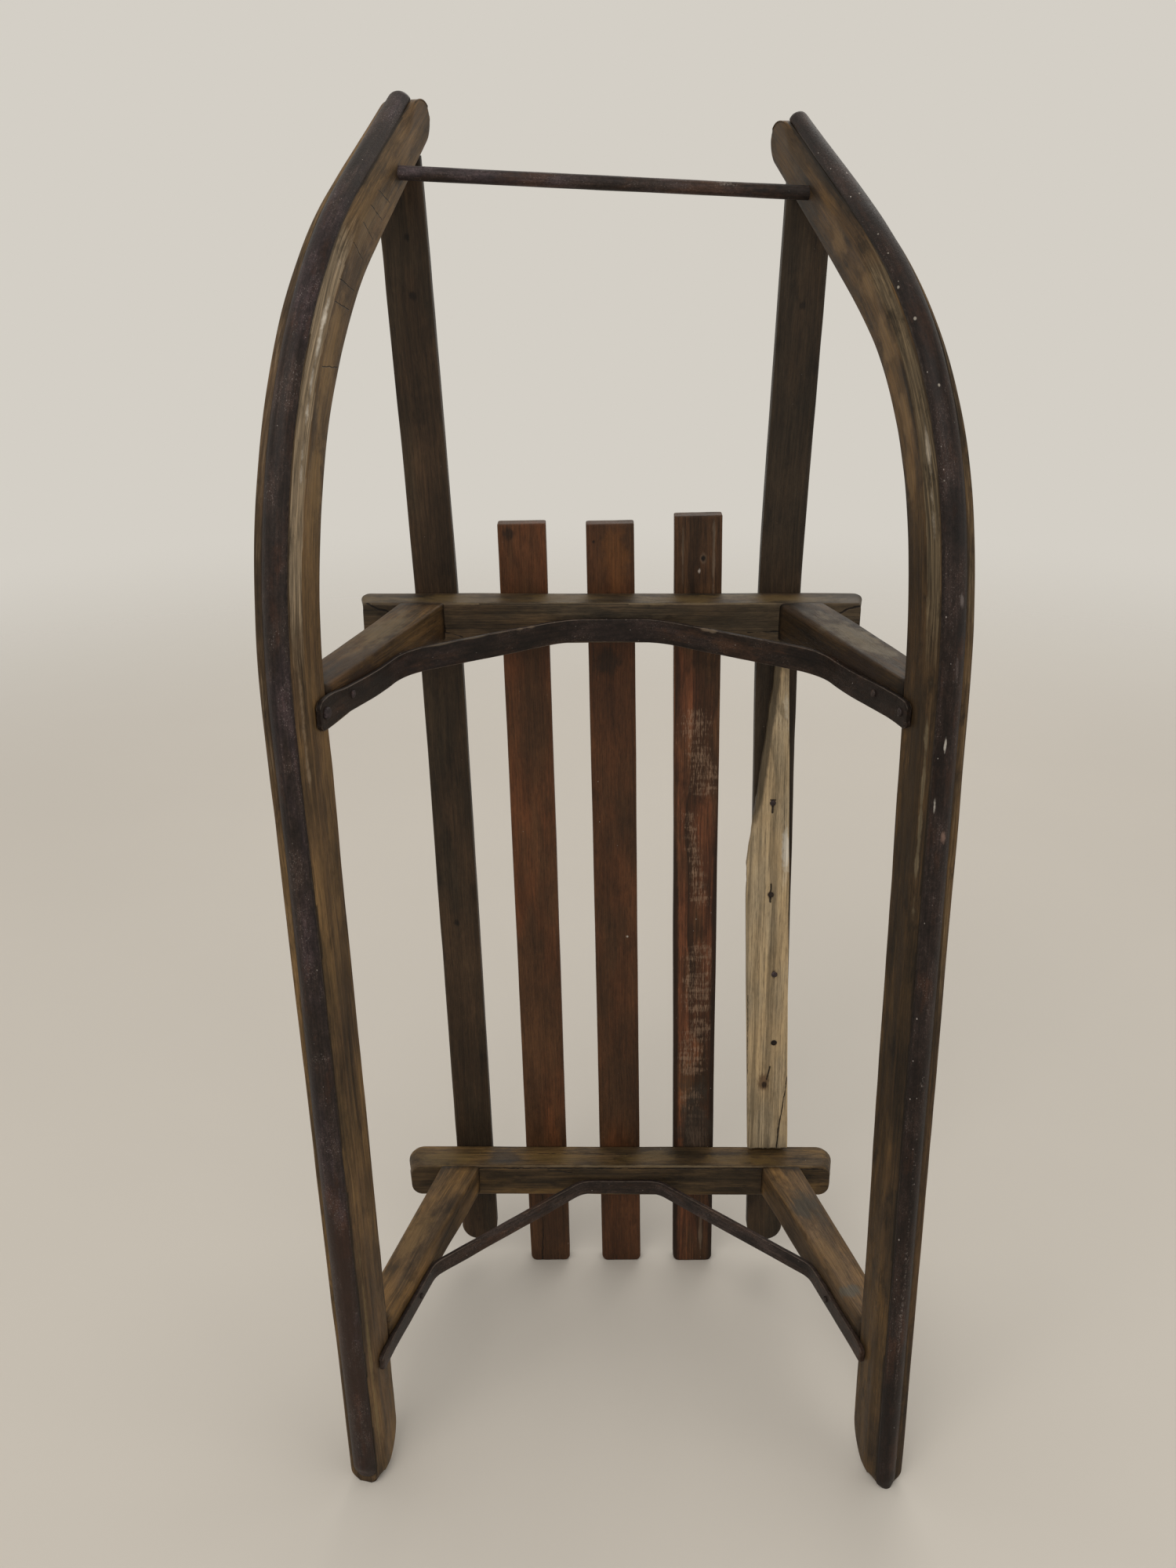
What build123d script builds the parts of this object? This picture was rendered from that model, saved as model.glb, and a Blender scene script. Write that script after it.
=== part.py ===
from build123d import *
from math import sin, cos, tan, atan, radians, degrees
import os

os.makedirs("parts", exist_ok=True)

# Wooden toboggan sled with two trestles, stood up on its tail.
# X is across the sled, Z runs up from the tail to the horns, and Y runs from the iron shoes
# (-Y) to the seat (+Y). Y = 0 is the underside of the slats until the last step.
# The rider looks along +Z with the seat above, so the rider's right side is -X.

# Fits
seat_gap = 0.1              # between two pieces that are nailed or screwed face to face
joint_gap = 0.15            # round a tenon in its mortise
bottom_gap = 0.6            # under the end of a tenon
pin_gap = 0.2               # round a bar in its hole, on the radius

# The old sled has racked: every piece that runs along it leans toward -X by this angle,
# while the benches, legs and straps have stayed level
rack = 1.15                 # degrees

# Seat
slat_width = 30.0
slat_thick = 11.0
slat_pitch = 54.0
slat_length = 568.5
long_slat_extra = 5.0       # the slat on the rider's left reaches further forward
slat_edge = 1.6             # rounding of slat and side rail edges

rail_width = 26.8
rail_tail = 19.5            # the side rails stop this far above the tail
rail_bend_round = 2500.0    # each rail is bent round the front bench
rail_horn_depth = 7.0       # how far the rail's end is let into the horn, at mid thickness
# rail centre from the sled's middle: at the tail, at the front bench, where it meets the horn
rail_halves = {
    "right": (106.6, 108.1, 115.0),
    "left": (108.4, 103.8, 115.1),
}

# Trestles
bench_z_rear = 94.1
bench_z_front = 512.6
bench_depth = 26.0          # along the sled
bench_height = 24.0
bench_half_length = 156.0
bench_end_slope = 5.0       # each end is this much shorter at the underside
bench_end_round = 8.0       # end corner next to the seat
bench_plan_round = 7.0      # end corners seen from the seat
bench_edge = 1.5

leg_depth = 24.0            # along the sled, flush with the bench's front
leg_half_top = 115.5        # leg centre from the sled's middle at the bench
leg_width_top = 27.0
tenon_depth = 16.0
tenon_width = 12.0          # across the runner
tenon_length = 17.0         # along the sled
leg_edge = 1.5

# Runners, in a plane that leans outward at the sole
seat_height = 207.8         # slat underside to the sole of the shoes
runner_half_sole = 166.2    # sole centre from the sled's middle, at the tail
runner_lean = 14.3          # degrees
wood_width = 22.0
wood_height = 31.0
wood_edge = 2.5             # small bevel along three corners
wear_across = 3.0           # worn bevel along the inner lower edge
wear_up = 8.0
tail_round = 32.0
tip_height = 26.5           # height of the wood where the round end of the horn is centred
tip_round = 13.9
tip_up = 12.8               # its centre above the wood's lower face
# Each runner was bent by hand and the two differ. One row for each part of the bend: the
# radius of the sole and the degrees turned.
bends = {
    "right": [(310.0, 20.4), (263.0, 31.8), (172.0, 9.4)],
    "left": [(366.0, 13.3), (175.5, 36.7), (281.0, 13.8)],
}
# side: sign of X, where the runner begins to rise past the front bench's centre, straight part
# of the horn up to the centre of its round end, rod from the end of the bend, width of the wood
# at that round end, how far before the end of the bend it begins to narrow, iron worn off at
# the tail
side_rows = {
    "right": (-1, 6.9, 99.4, 51.4, 20.4, 70.0, 7.0),
    "left": (1, 21.1, 112.3, 58.5, 13.5, 175.0, 0.0),
}

# Iron
shoe_width = 16.0
shoe_height = 5.5
shoe_past_tip = 2.8         # shoe beyond the centre of the horn's round end
shoe_nose = 4.0             # bevel at the shoe's front end
shoe_inset = 0.6            # the shoe stays this far inside the narrowed horn
strap_thick = 3.0
strap_foot_round = 16.0      # bend of the strap from the leg to the runner
strap_half_flat = 27.5      # flat part under the bench, from the middle
strap_end_up = 15.5         # strap end above the sole, up the runner's inner face
strap_end_gap = 0.35        # between the strap's end and the runner it is nailed to
rod_diameter = 8.0
rod_end = 3.5               # hammered end beyond the washer
rod_head = 11.0
washer_diameter = 14.0
washer_thick = 2.0

# Repair batten nailed under the rail on the rider's left
splint_thick = 7.0
splint_past_bench = 6.3     # its square end from the rear bench, and
splint_tip_gap = 5.5        # its split tip from the front bench
splint_split = 340.0        # above this height it is split away to a point
splint_width_tail = 29.6
splint_width_mid = 29.3
splint_width_tip = 8.3
splint_half_tail = 107.6    # its centre from the sled's middle, at the square end
splint_outer_drift = 0.028  # its outer edge runs inward by this much per mm of height

# trestle: name, bench centre, where the strap bends onto the leg (mm below the slats),
# radius of the strap's bends, width of the strap, strap centre from the bench centre
trestles = [
    ("rear", bench_z_rear, 111.0, 20.0, 12.0, -3.8),
    ("front", bench_z_front, 88.0, 45.0, 15.0, -3.7),
]

runner_height = shoe_height + wood_height
lean = radians(runner_lean)
C, S = cos(lean), sin(lean)
over = 4 * wood_width       # reach of a cutting block past the wood
MIRROR = Plane.YZ
# from a runner's own axes (X outward across it, Y up it, Z along the sled) to the sled
runner_place = Location((runner_half_sole, -seat_height, 0), (0, 0, runner_lean))


def in_sled(across, up):
    """X and Y in the sled of a point given across and up the leaning runner."""
    return (runner_half_sole + across * C - up * S, -seat_height + across * S + up * C)


def lean_over(foot_x):
    """Turn a long piece about its own foot by the rack of the sled."""
    return Location((foot_x, 0, 0), (0, -rack, 0)) * Pos(-foot_x, 0, 0)


def level(z):
    """Move a piece that has stayed level to where the racked runners are at its height."""
    return Pos(-z * tan(radians(rack)), 0, 0)


def on_side(solid, sign):
    """The piece for one side; every side piece is drawn at +X."""
    return solid if sign > 0 else mirror(solid, about=MIRROR)


def rounded_bar(width, thick, length, edge):
    bar = Box(width, thick, length)
    return fillet(bar.edges().filter_by(Axis.Z), edge)


class Runner:
    """The curve of one runner, in its own axes."""

    def __init__(self, side):
        (self.sign, past_bench, self.horn, self.rod, self.tip_width, self.narrows,
         self.worn) = side_rows[side]
        y, z, heading = 0.0, bench_z_front + past_bench, 0.0
        self.edges = [Line((0, 0, 0), (0, y, z))]
        for radius, angle in bends[side]:
            turn = radians(angle)
            at = lambda a: (0, y + radius * (cos(heading) - cos(heading + a)),
                            z + radius * (sin(heading + a) - sin(heading)))
            mid, end = at(turn / 2), at(turn)
            self.edges.append(ThreePointArc((0, y, z), mid, end))
            heading += turn
            y, z = end[1], end[2]
        self.bend_end = (y, z)
        self.rise, self.run = sin(heading), cos(heading)
        self.turned = -degrees(heading)
        self.slope = (wood_width - self.tip_width) / (self.narrows + self.horn)

    def point(self, along, depth):
        """Y up the runner and Z of a point of the horn, from the end of the bend."""
        y, z = self.bend_end
        return (y + along * self.rise + depth * self.run,
                z + along * self.run - depth * self.rise)

    def on_horn(self, across, along, depth):
        """A place on the horn: its Z runs up the horn and its Y from the sole to the seat."""
        return Location((across, *self.point(along, depth)), (self.turned, 0, 0))

    def outer(self, along):
        """How far the horn's outer face is from the middle of the wood's full width."""
        return wood_width / 2 - self.slope * max(0, along + self.narrows)

    def path(self, extra):
        """The sole's line with its straight horn end made longer by extra."""
        last = Line((0, *self.bend_end), (0, *self.point(self.horn + extra, 0)))
        return Wire([*[e.edge() for e in self.edges], last.edge()])

    def narrowing(self, inset):
        """Block outside the horn's outer face."""
        return self.on_horn(wood_width / 2 - inset, -self.narrows, 0) * Rot(
            0, -degrees(atan(self.slope)), 0) * Pos(over / 2, 0, 2 * over) * Box(
            over, 4 * over, 4 * over)

    def placed(self, across, along, depth):
        """A point of the horn in the racked sled."""
        up, z = self.point(along, depth)
        x, y = in_sled(across, up)
        foot = self.sign * runner_half_sole
        dx, a = self.sign * x - foot, radians(rack)
        return Vector(foot + dx * cos(a) - z * sin(a), y, z * cos(a) + dx * sin(a))

    def rod_centre(self):
        across = (self.outer(self.rod) - wood_width / 2) / 2
        return self.placed(across, self.rod, shoe_height + wood_height / 2)

    def outer_face(self):
        """A point on the horn's outer face in the racked sled, and the way it faces."""
        n, a = wood_width / 2, atan(self.slope)
        foot = self.placed(n, -self.narrows, 0)
        tip = self.placed(n + cos(a), -self.narrows + sin(a), 0)
        return foot, (tip - foot).normalized()

    def rail_end_z(self):
        """Height of the side rail's end, let into the horn, before the sled is racked."""
        rail_up = (seat_height + slat_thick / 2) / C
        along = (rail_up - self.bend_end[0] - runner_height * self.run) / self.rise
        return self.point(along, runner_height)[1] + rail_horn_depth


runners = {side: Runner(side) for side in side_rows}
rod_start = runners["right"].rod_centre()
rod_way = (runners["left"].rod_centre() - rod_start).normalized()


def along_rod(foot, facing, clear):
    """Point of the rod's axis this far outside a flat face."""
    return rod_start + rod_way * ((foot + facing * clear - rod_start).dot(facing)
                                  / rod_way.dot(facing))


def runner_wood(side):
    r = runners[side]
    left, right = -wood_width / 2, wood_width / 2
    low, high = shoe_height, runner_height
    section = make_face(Polyline(
        (left + wear_across, low), (right, low), (right, high), (left, high),
        (left, low + wear_up), close=True))
    sharp = [v for v in section.vertices() if v.X > 0 or v.Y > high - 1]
    wood = sweep(chamfer(sharp, wood_edge), path=r.path(wood_height))
    # the horn narrows on its outer side and on its upper side, and ends round
    wood -= r.narrowing(0)
    fall = degrees(atan((wood_height - tip_height) / r.horn))
    wood -= r.on_horn(0, 0, runner_height) * Rot(fall, 0, 0) * Pos(
        0, over / 2, over) * Box(over, over, 2 * over)
    end = r.on_horn(0, r.horn, shoe_height + tip_up)
    wood -= end * (Pos(0, 0, over / 2) * Box(over, over, over)
                   - Rot(0, 90, 0) * Cylinder(tip_round, 2 * over))
    # round upper corner of the tail
    y_corner = runner_height + 0.3 - tail_round
    corner = Pos(0, y_corner + tail_round, tail_round / 2 - 2) * Box(
        over, 2 * tail_round, tail_round + 4)
    wood -= corner - Pos(0, y_corner, tail_round) * Rot(0, 90, 0) * Cylinder(tail_round, over)
    wood = lean_over(r.sign * runner_half_sole) * on_side(runner_place * wood, r.sign)
    # mortises for the legs, in line with the level trestles
    for _, z, *_rest in trestles:
        mortise = runner_place * Pos(0, runner_height - tenon_depth / 2, leg_z(z)) * Box(
            tenon_width + 2 * joint_gap, tenon_depth + 2 * bottom_gap,
            tenon_length + 2 * joint_gap)
        wood -= level(z) * on_side(mortise, r.sign)
    # hole for the rod and housing for the end of the side rail
    wood -= Plane(origin=rod_start, z_dir=rod_way) * Cylinder(
        rod_diameter / 2 + pin_gap, 4 * runner_half_sole)
    _, _, rail_half_horn = rail_halves[side]
    housing = Pos(rail_half_horn, slat_thick / 2, r.rail_end_z() + joint_gap - over / 2) * Box(
        over, slat_thick + 2 * joint_gap, over)
    wood -= lean_over(r.sign * rail_halves[side][0]) * on_side(housing, r.sign)
    return wood


def shoe(side):
    r = runners[side]
    half = shoe_width / 2
    top = shoe_height - seat_gap
    section = make_face([
        ThreePointArc((-half, top), (0, 0), (half, top)).edge(),
        Line((half, top), (-half, top)).edge()])
    iron = sweep(section, path=r.path(shoe_past_tip))
    iron -= r.on_horn(0, r.horn + shoe_past_tip, 0) * Rot(-45, 0, 0) * Pos(
        0, 0, over / 2) * Box(over, over, over - 2 * shoe_nose * 0.7071)
    iron -= r.narrowing(shoe_inset)
    if r.worn:
        iron -= Pos(0, 0, r.worn / 2 - 1) * Box(over, over, r.worn + 2)
    return lean_over(r.sign * runner_half_sole) * on_side(runner_place * iron, r.sign)


def leg_z(bench_z):
    return bench_z + (bench_depth - leg_depth) / 2


# inner and outer corners of a leg: at the bench, then on the runner
leg_top_y = -bench_height - seat_gap
leg_top_in = (leg_half_top - leg_width_top / 2 / C, leg_top_y)
leg_top_out = (leg_half_top + leg_width_top / 2 / C, leg_top_y)
leg_foot_in = in_sled(-wood_width / 2, runner_height + seat_gap)
leg_foot_out = in_sled(wood_width / 2, runner_height + seat_gap)


def leg(bench_z):
    z = leg_z(bench_z)
    outline = make_face(Polyline(
        leg_top_in, leg_top_out, leg_foot_out, leg_foot_in, close=True))
    body = Pos(0, 0, z - leg_depth / 2) * extrude(outline, leg_depth)
    long_edges = [e for e in body.edges() if e.length > 4 * leg_width_top]
    body = fillet(long_edges, leg_edge)
    body += Pos(leg_half_top, leg_top_y + tenon_depth / 2 - 1, z) * Box(
        tenon_width, tenon_depth + 2, tenon_length)
    body += runner_place * Pos(0, runner_height - tenon_depth / 2 + 1, z) * Box(
        tenon_width, tenon_depth + 2, tenon_length)
    return body


def bench(z):
    low, high = -bench_height, -seat_gap
    outline = make_face(Polyline(
        (-bench_half_length, high), (bench_half_length, high),
        (bench_half_length - bench_end_slope, low),
        (-bench_half_length + bench_end_slope, low), close=True))
    outline = fillet([v for v in outline.vertices() if v.Y > high - 1], bench_end_round)
    plan = fillet(Rectangle(2 * bench_half_length, bench_depth).vertices(), bench_plan_round)
    body = extrude(outline, bench_depth, both=True)
    body &= Pos(0, 5, 0) * Rot(90, 0, 0) * extrude(plan, bench_height + 10)
    body = fillet([e for e in body.edges() if e.length > bench_half_length], bench_edge)
    body = Pos(0, 0, z) * body
    for sign in (-1, 1):
        body -= Pos(sign * leg_half_top, low + tenon_depth / 2, leg_z(z)) * Box(
            tenon_width + 2 * joint_gap, tenon_depth + 2 * bottom_gap,
            tenon_length + 2 * joint_gap)
    return body


def side_rail(side):
    r = runners[side]
    tail, bend, horn = rail_halves[side]
    half = rail_width / 2
    z0, z2 = rail_tail + half, r.rail_end_z()
    outline = make_face([
        Line((tail + half, z0), (bend + half, bench_z_front)).edge(),
        Line((bend + half, bench_z_front), (horn + half, z2)).edge(),
        Line((horn + half, z2), (horn - half, z2)).edge(),
        Line((horn - half, z2), (bend - half, bench_z_front)).edge(),
        Line((bend - half, bench_z_front), (tail - half, z0)).edge(),
        ThreePointArc((tail - half, z0), (tail, rail_tail), (tail + half, z0)).edge()])
    outline = fillet([v for v in outline.vertices() if abs(v.Y - bench_z_front) < 1],
                     rail_bend_round)
    body = Pos(0, slat_thick, 0) * Rot(90, 0, 0) * extrude(outline, slat_thick)
    edges = [e for e in body.edges() if e.center().Z < z2 - 5
             and (abs(e.center().Y) < 0.01 or abs(e.center().Y - slat_thick) < 0.01)]
    body = on_side(chamfer(edges, slat_edge / 2), r.sign)
    return lean_over(r.sign * tail) * body


def splint():
    z_tail = bench_z_rear + bench_depth / 2 + splint_past_bench
    z_tip = bench_z_front - bench_depth / 2 - splint_tip_gap
    outer = lambda z: (splint_half_tail + splint_width_tail / 2
                       - splint_outer_drift * (z - z_tail))
    outline = make_face(Polyline(
        (outer(z_tail) - splint_width_tail, z_tail),
        (outer(z_tail), z_tail),
        (outer(z_tip), z_tip),
        (outer(z_tip) - splint_width_tip, z_tip),
        (outer(splint_split) - splint_width_mid, splint_split), close=True))
    body = Pos(0, -seat_gap, 0) * Rot(90, 0, 0) * extrude(outline, splint_thick)
    return lean_over(rail_halves["left"][0]) * body


def strap(bench_z, bend_w, bend_round, width, dz):
    """Flat iron from runner to runner, under the bench and down the legs' inner faces."""
    lead = seat_gap + strap_thick / 2
    lead_end = strap_end_gap + strap_thick / 2
    slope = (leg_foot_in[0] - leg_top_in[0]) / (leg_top_in[1] - leg_foot_in[1])
    on_leg = lambda y: leg_top_in[0] + (leg_top_in[1] - y) * slope
    end = in_sled(-wood_width / 2 - lead_end, strap_end_up)
    half = [
        (strap_half_flat, -bench_height - lead),
        (on_leg(-bend_w) - lead * 1.05, -bend_w),
        (leg_foot_in[0] - lead_end, leg_foot_in[1]),
        end,
    ]
    points = [(-x, y) for x, y in reversed(half)] + half
    rounds = [strap_foot_round, *[bend_round] * 4, strap_foot_round]
    path = FilletPolyline(*[(x, y, 0) for x, y in points], radius=rounds)
    start = path % 0
    section = Plane(origin=path @ 0, x_dir=(0, 0, 1), z_dir=start) * Rectangle(
        width, strap_thick)
    return Pos(0, 0, bench_z + dz) * sweep(section, path=path)


def washer(side):
    foot, facing = runners[side].outer_face()
    ring = Cylinder(washer_diameter / 2, washer_thick) - Cylinder(
        rod_diameter / 2 + 4 * pin_gap, 3 * washer_thick)
    centre = along_rod(foot, facing, seat_gap + washer_thick / 2)
    return Plane(origin=centre, z_dir=facing) * ring


def tow_rod():
    heads = []
    for r in runners.values():
        foot, facing = r.outer_face()
        away = rod_way * r.sign
        tilt = (1 - facing.dot(away) ** 2) ** 0.5 / facing.dot(away)
        centre = along_rod(foot, facing, seat_gap + washer_thick) + away * (
            rod_head / 2 * tilt + seat_gap + rod_end / 2)
        heads.append(centre)
    middle, length = (heads[0] + heads[1]) / 2, (heads[0] - heads[1]).length
    body = Cylinder(rod_diameter / 2, length)
    for z in (-length / 2, length / 2):
        body += Pos(0, 0, z) * Cylinder(rod_head / 2, rod_end)
    return Plane(origin=middle, z_dir=rod_way) * body


nodes = {}
for side, r in runners.items():
    nodes[f"runner_{side}"] = runner_wood(side)
    nodes[f"shoe_{side}"] = shoe(side)
    nodes[f"side_rail_{side}"] = side_rail(side)
    nodes[f"rod_washer_{side}"] = washer(side)
    for trestle, z, *_rest in trestles:
        nodes[f"leg_{trestle}_{side}"] = level(z) * on_side(leg(z), r.sign)
for name, x, extra in [("right", -1, 0), ("middle", 0, 0), ("left", 1, long_slat_extra)]:
    length = slat_length + extra
    nodes[f"slat_{name}"] = lean_over(x * slat_pitch) * Pos(
        x * slat_pitch, slat_thick / 2, length / 2) * rounded_bar(
        slat_width, slat_thick, length, slat_edge)
for trestle, z, bend_w, bend_round, width, dz in trestles:
    nodes[f"bench_{trestle}"] = level(z) * bench(z)
    nodes[f"strap_{trestle}"] = level(z) * strap(z, bend_w, bend_round, width, dz)
nodes["tow_rod"] = tow_rod()
nodes["splint"] = splint()

# put the middle of the foot of the bounding box at the origin
boxes = [solid.bounding_box() for solid in nodes.values()]
low = [min(getattr(b.min, axis) for b in boxes) for axis in "XYZ"]
high = [max(getattr(b.max, axis) for b in boxes) for axis in "XYZ"]
shift = Pos(-(low[0] + high[0]) / 2, -(low[1] + high[1]) / 2, -low[2])
for name, solid in nodes.items():
    pieces = (shift * solid).solids()
    if len(pieces) != 1:
        raise ValueError(f"{name} is {len(pieces)} solids")
    export_step(pieces[0], f"parts/{name}.step")
    b = pieces[0].bounding_box()
    print(name, [round(v, 1) for v in (b.min.X, b.max.X, b.min.Y, b.max.Y, b.min.Z, b.max.Z)],
          "cm3", round(pieces[0].volume / 1000, 1), pieces[0].is_valid)
print("shift", shift.position)
for side, r in runners.items():
    print("rod", side, r.rod_centre(), "rail end", round(r.rail_end_z(), 1))
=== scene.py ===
from math import sin, cos, radians, pi

import bpy
import numpy as np
from mathutils import Matrix


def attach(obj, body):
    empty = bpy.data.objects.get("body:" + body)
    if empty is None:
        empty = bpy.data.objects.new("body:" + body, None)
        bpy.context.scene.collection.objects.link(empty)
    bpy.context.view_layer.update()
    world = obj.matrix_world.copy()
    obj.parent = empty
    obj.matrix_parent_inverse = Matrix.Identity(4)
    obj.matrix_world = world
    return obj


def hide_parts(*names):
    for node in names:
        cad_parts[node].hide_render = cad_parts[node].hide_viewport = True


# A wooden toboggan sled stood up on its tail, seen from below.
# Shapes are worked out in millimetres: X across the sled, Y from the iron shoes to the seat,
# Z from the tail to the horns. Each piece is drawn on the +X side and mirrored where needed.
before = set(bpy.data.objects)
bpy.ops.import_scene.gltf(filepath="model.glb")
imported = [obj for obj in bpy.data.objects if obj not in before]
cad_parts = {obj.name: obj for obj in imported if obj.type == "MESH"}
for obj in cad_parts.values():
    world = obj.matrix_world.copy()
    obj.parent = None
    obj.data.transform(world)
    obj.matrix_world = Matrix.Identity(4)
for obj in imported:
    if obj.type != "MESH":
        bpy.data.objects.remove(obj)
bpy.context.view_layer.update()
MM = 0.001

# Sizes of the frame, in mm
UNDERSIDE = 87.945              # underside of slats and rails
THICK = 11.0                    # of slats and rails
SHIFT_X, SHIFT_Z = 5.338, 0.301 # from the middle of the seat's tail end to the frame's origin
RACK = radians(1.15)            # long pieces lean this much toward -X; the trestles are level
LEAN = radians(14.3)            # the runners' planes lean outward at the sole
C, S = cos(LEAN), sin(LEAN)
SEAT_HEIGHT = 207.8             # underside of slats and rails above the soles
SOLE = (166.2, UNDERSIDE - SEAT_HEIGHT)
WOOD_LOW, WOOD_HIGH, WOOD_HALF = 5.5, 36.5, 11.0
WOOD_MID = (WOOD_LOW + WOOD_HIGH) / 2
SHOE_HALF, SHOE_HIGH = 8.0, 5.4
SHOE_ROUND = (SHOE_HALF ** 2 + SHOE_HIGH ** 2) / (2 * SHOE_HIGH)
SLAT_HALF, SLAT_PITCH = 15.0, 54.0
RAIL_HALF, RAIL_TAIL = 13.4, 19.5
BENCH_HALF, BENCH_HIGH = 156.0, 23.9
LEG_HALF = 12.0                 # half its depth along the sled
LEG_X, LEG_TOP_HALF = 115.5, 13.5   # its middle and half its width, under the bench
STRAP_HALF = 1.5                # half its thickness
STRAP_OFF = 1.85                # its middle from the face it lies on
SPLINT_THICK = 7.0
CLEAR = 0.1                     # between pieces
BENCHES = {"rear": 94.1, "front": 512.6}
# side: where the runner begins to rise, radius and degrees of each part of its bend, straight
# part of the horn, width of the wood at its tip, where it begins to narrow before the bend's end
RUNNERS = {
    "right": (519.5, [(310.0, 20.4), (263.0, 31.8), (172.0, 9.4)], 99.4, 20.4, 70.0),
    "left": (533.7, [(366.0, 13.3), (175.5, 36.7), (281.0, 13.8)], 112.3, 15.5, 175.0),
}
# side: side rail centre from the middle at its tail, at the front bench, at its end; its end
RAILS = {"right": (106.6, 108.1, 115.0, 774.2), "left": (108.4, 103.8, 115.1, 762.3)}


def bumps(x, y, seed, count=61):
    """Smooth random height from 0 to 1. x and y are counted in cells, and repeat after count."""
    table = np.random.default_rng(seed).random((count, count))
    i, j = np.floor(x).astype(int), np.floor(y).astype(int)
    u, v = x - i, y - j
    u, v = u * u * (3 - 2 * u), v * v * (3 - 2 * v)

    def at(a, b):
        return table[a % count, b % count]
    return ((at(i, j) * (1 - u) + at(i + 1, j) * u) * (1 - v)
            + (at(i, j + 1) * (1 - u) + at(i + 1, j + 1) * u) * v)


def wave(s, cell, seed):
    """The same along one number only."""
    s = np.asarray(s, float)
    return bumps(s / cell, s * 0 + 0.5, seed)


def step(low, high, x):
    f = np.clip((np.asarray(x, float) - low) / (high - low), 0, 1)
    return f * f * (3 - 2 * f)


def near(x, centre, reach):
    """1 at the centre, falling to 0 at the reach."""
    return 1 - step(0, reach, np.abs(np.asarray(x, float) - centre))


def section(corners, setback, sides, cuts=4):
    """Rounds the corners of one polygon per station and divides its sides.

    corners is (stations, corners, values), with the place in the first three values.
    """
    count = corners.shape[1]
    rows, edge = [], []

    def toward(p, q, d):
        length = np.linalg.norm((q - p)[:, :3], axis=1)
        return p + (q - p) * (d / np.maximum(length, 1e-6))[:, None]
    for k in range(count):
        here, after, before = corners[:, k], corners[:, (k + 1) % count], corners[:, k - 1]
        a, b = toward(here, before, setback[:, k]), toward(here, after, setback[:, k])
        for i in range(cuts + 1):
            f = i / cuts
            rows.append((1 - f) ** 2 * a + 2 * f * (1 - f) * here + f * f * b)
            edge.append(4 * f * (1 - f))
        c = toward(after, here, setback[:, (k + 1) % count])
        for i in range(1, sides[k]):
            f = i / sides[k]
            rows.append(b + (c - b) * f)
            edge.append(0.0)
    return np.stack(rows, axis=1), np.array(edge)


def settle(verts, foot, level):
    """Leans a long piece over about its foot, or moves a level one to where the runners are."""
    x, y, z = np.array(verts, float).T
    if level is not None:
        x = x - level * np.tan(RACK)
    elif foot is not None:
        x, z = foot + (x - foot) * cos(RACK) - z * sin(RACK), z * cos(RACK) + (x - foot) * sin(RACK)
    else:
        return np.stack([x, y, z], axis=1)
    return np.stack([x + SHIFT_X, y, z + SHIFT_Z], axis=1)


def make(name, verts, faces, values, material, node=None, mirror=False, foot=None,
         level=None):
    """A mesh object from vertices in mm, with its values kept as attributes for the materials."""
    verts = np.array(verts, float)
    if mirror:
        verts[:, 0] *= -1
        faces = [tuple(reversed(f)) for f in faces]
        foot = -foot if foot else foot
    verts = settle(verts, foot, level)
    mesh = bpy.data.meshes.new(name)
    mesh.from_pydata((verts * MM).tolist(), [], faces)
    for key, data in values.items():
        data = np.asarray(data, np.float32)
        kind = "FLOAT_VECTOR" if data.ndim == 2 else "FLOAT"
        made = mesh.attributes.new(key, kind, "POINT")
        made.data.foreach_set("vector" if data.ndim == 2 else "value", data.ravel())
    mesh.update()
    mesh.polygons.foreach_set("use_smooth", [True] * len(mesh.polygons))
    mesh.materials.append(material)
    piece = bpy.data.objects.new(name, mesh)
    bpy.context.scene.collection.objects.link(piece)
    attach(piece, "root")
    if node:
        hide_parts(node)


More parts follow.
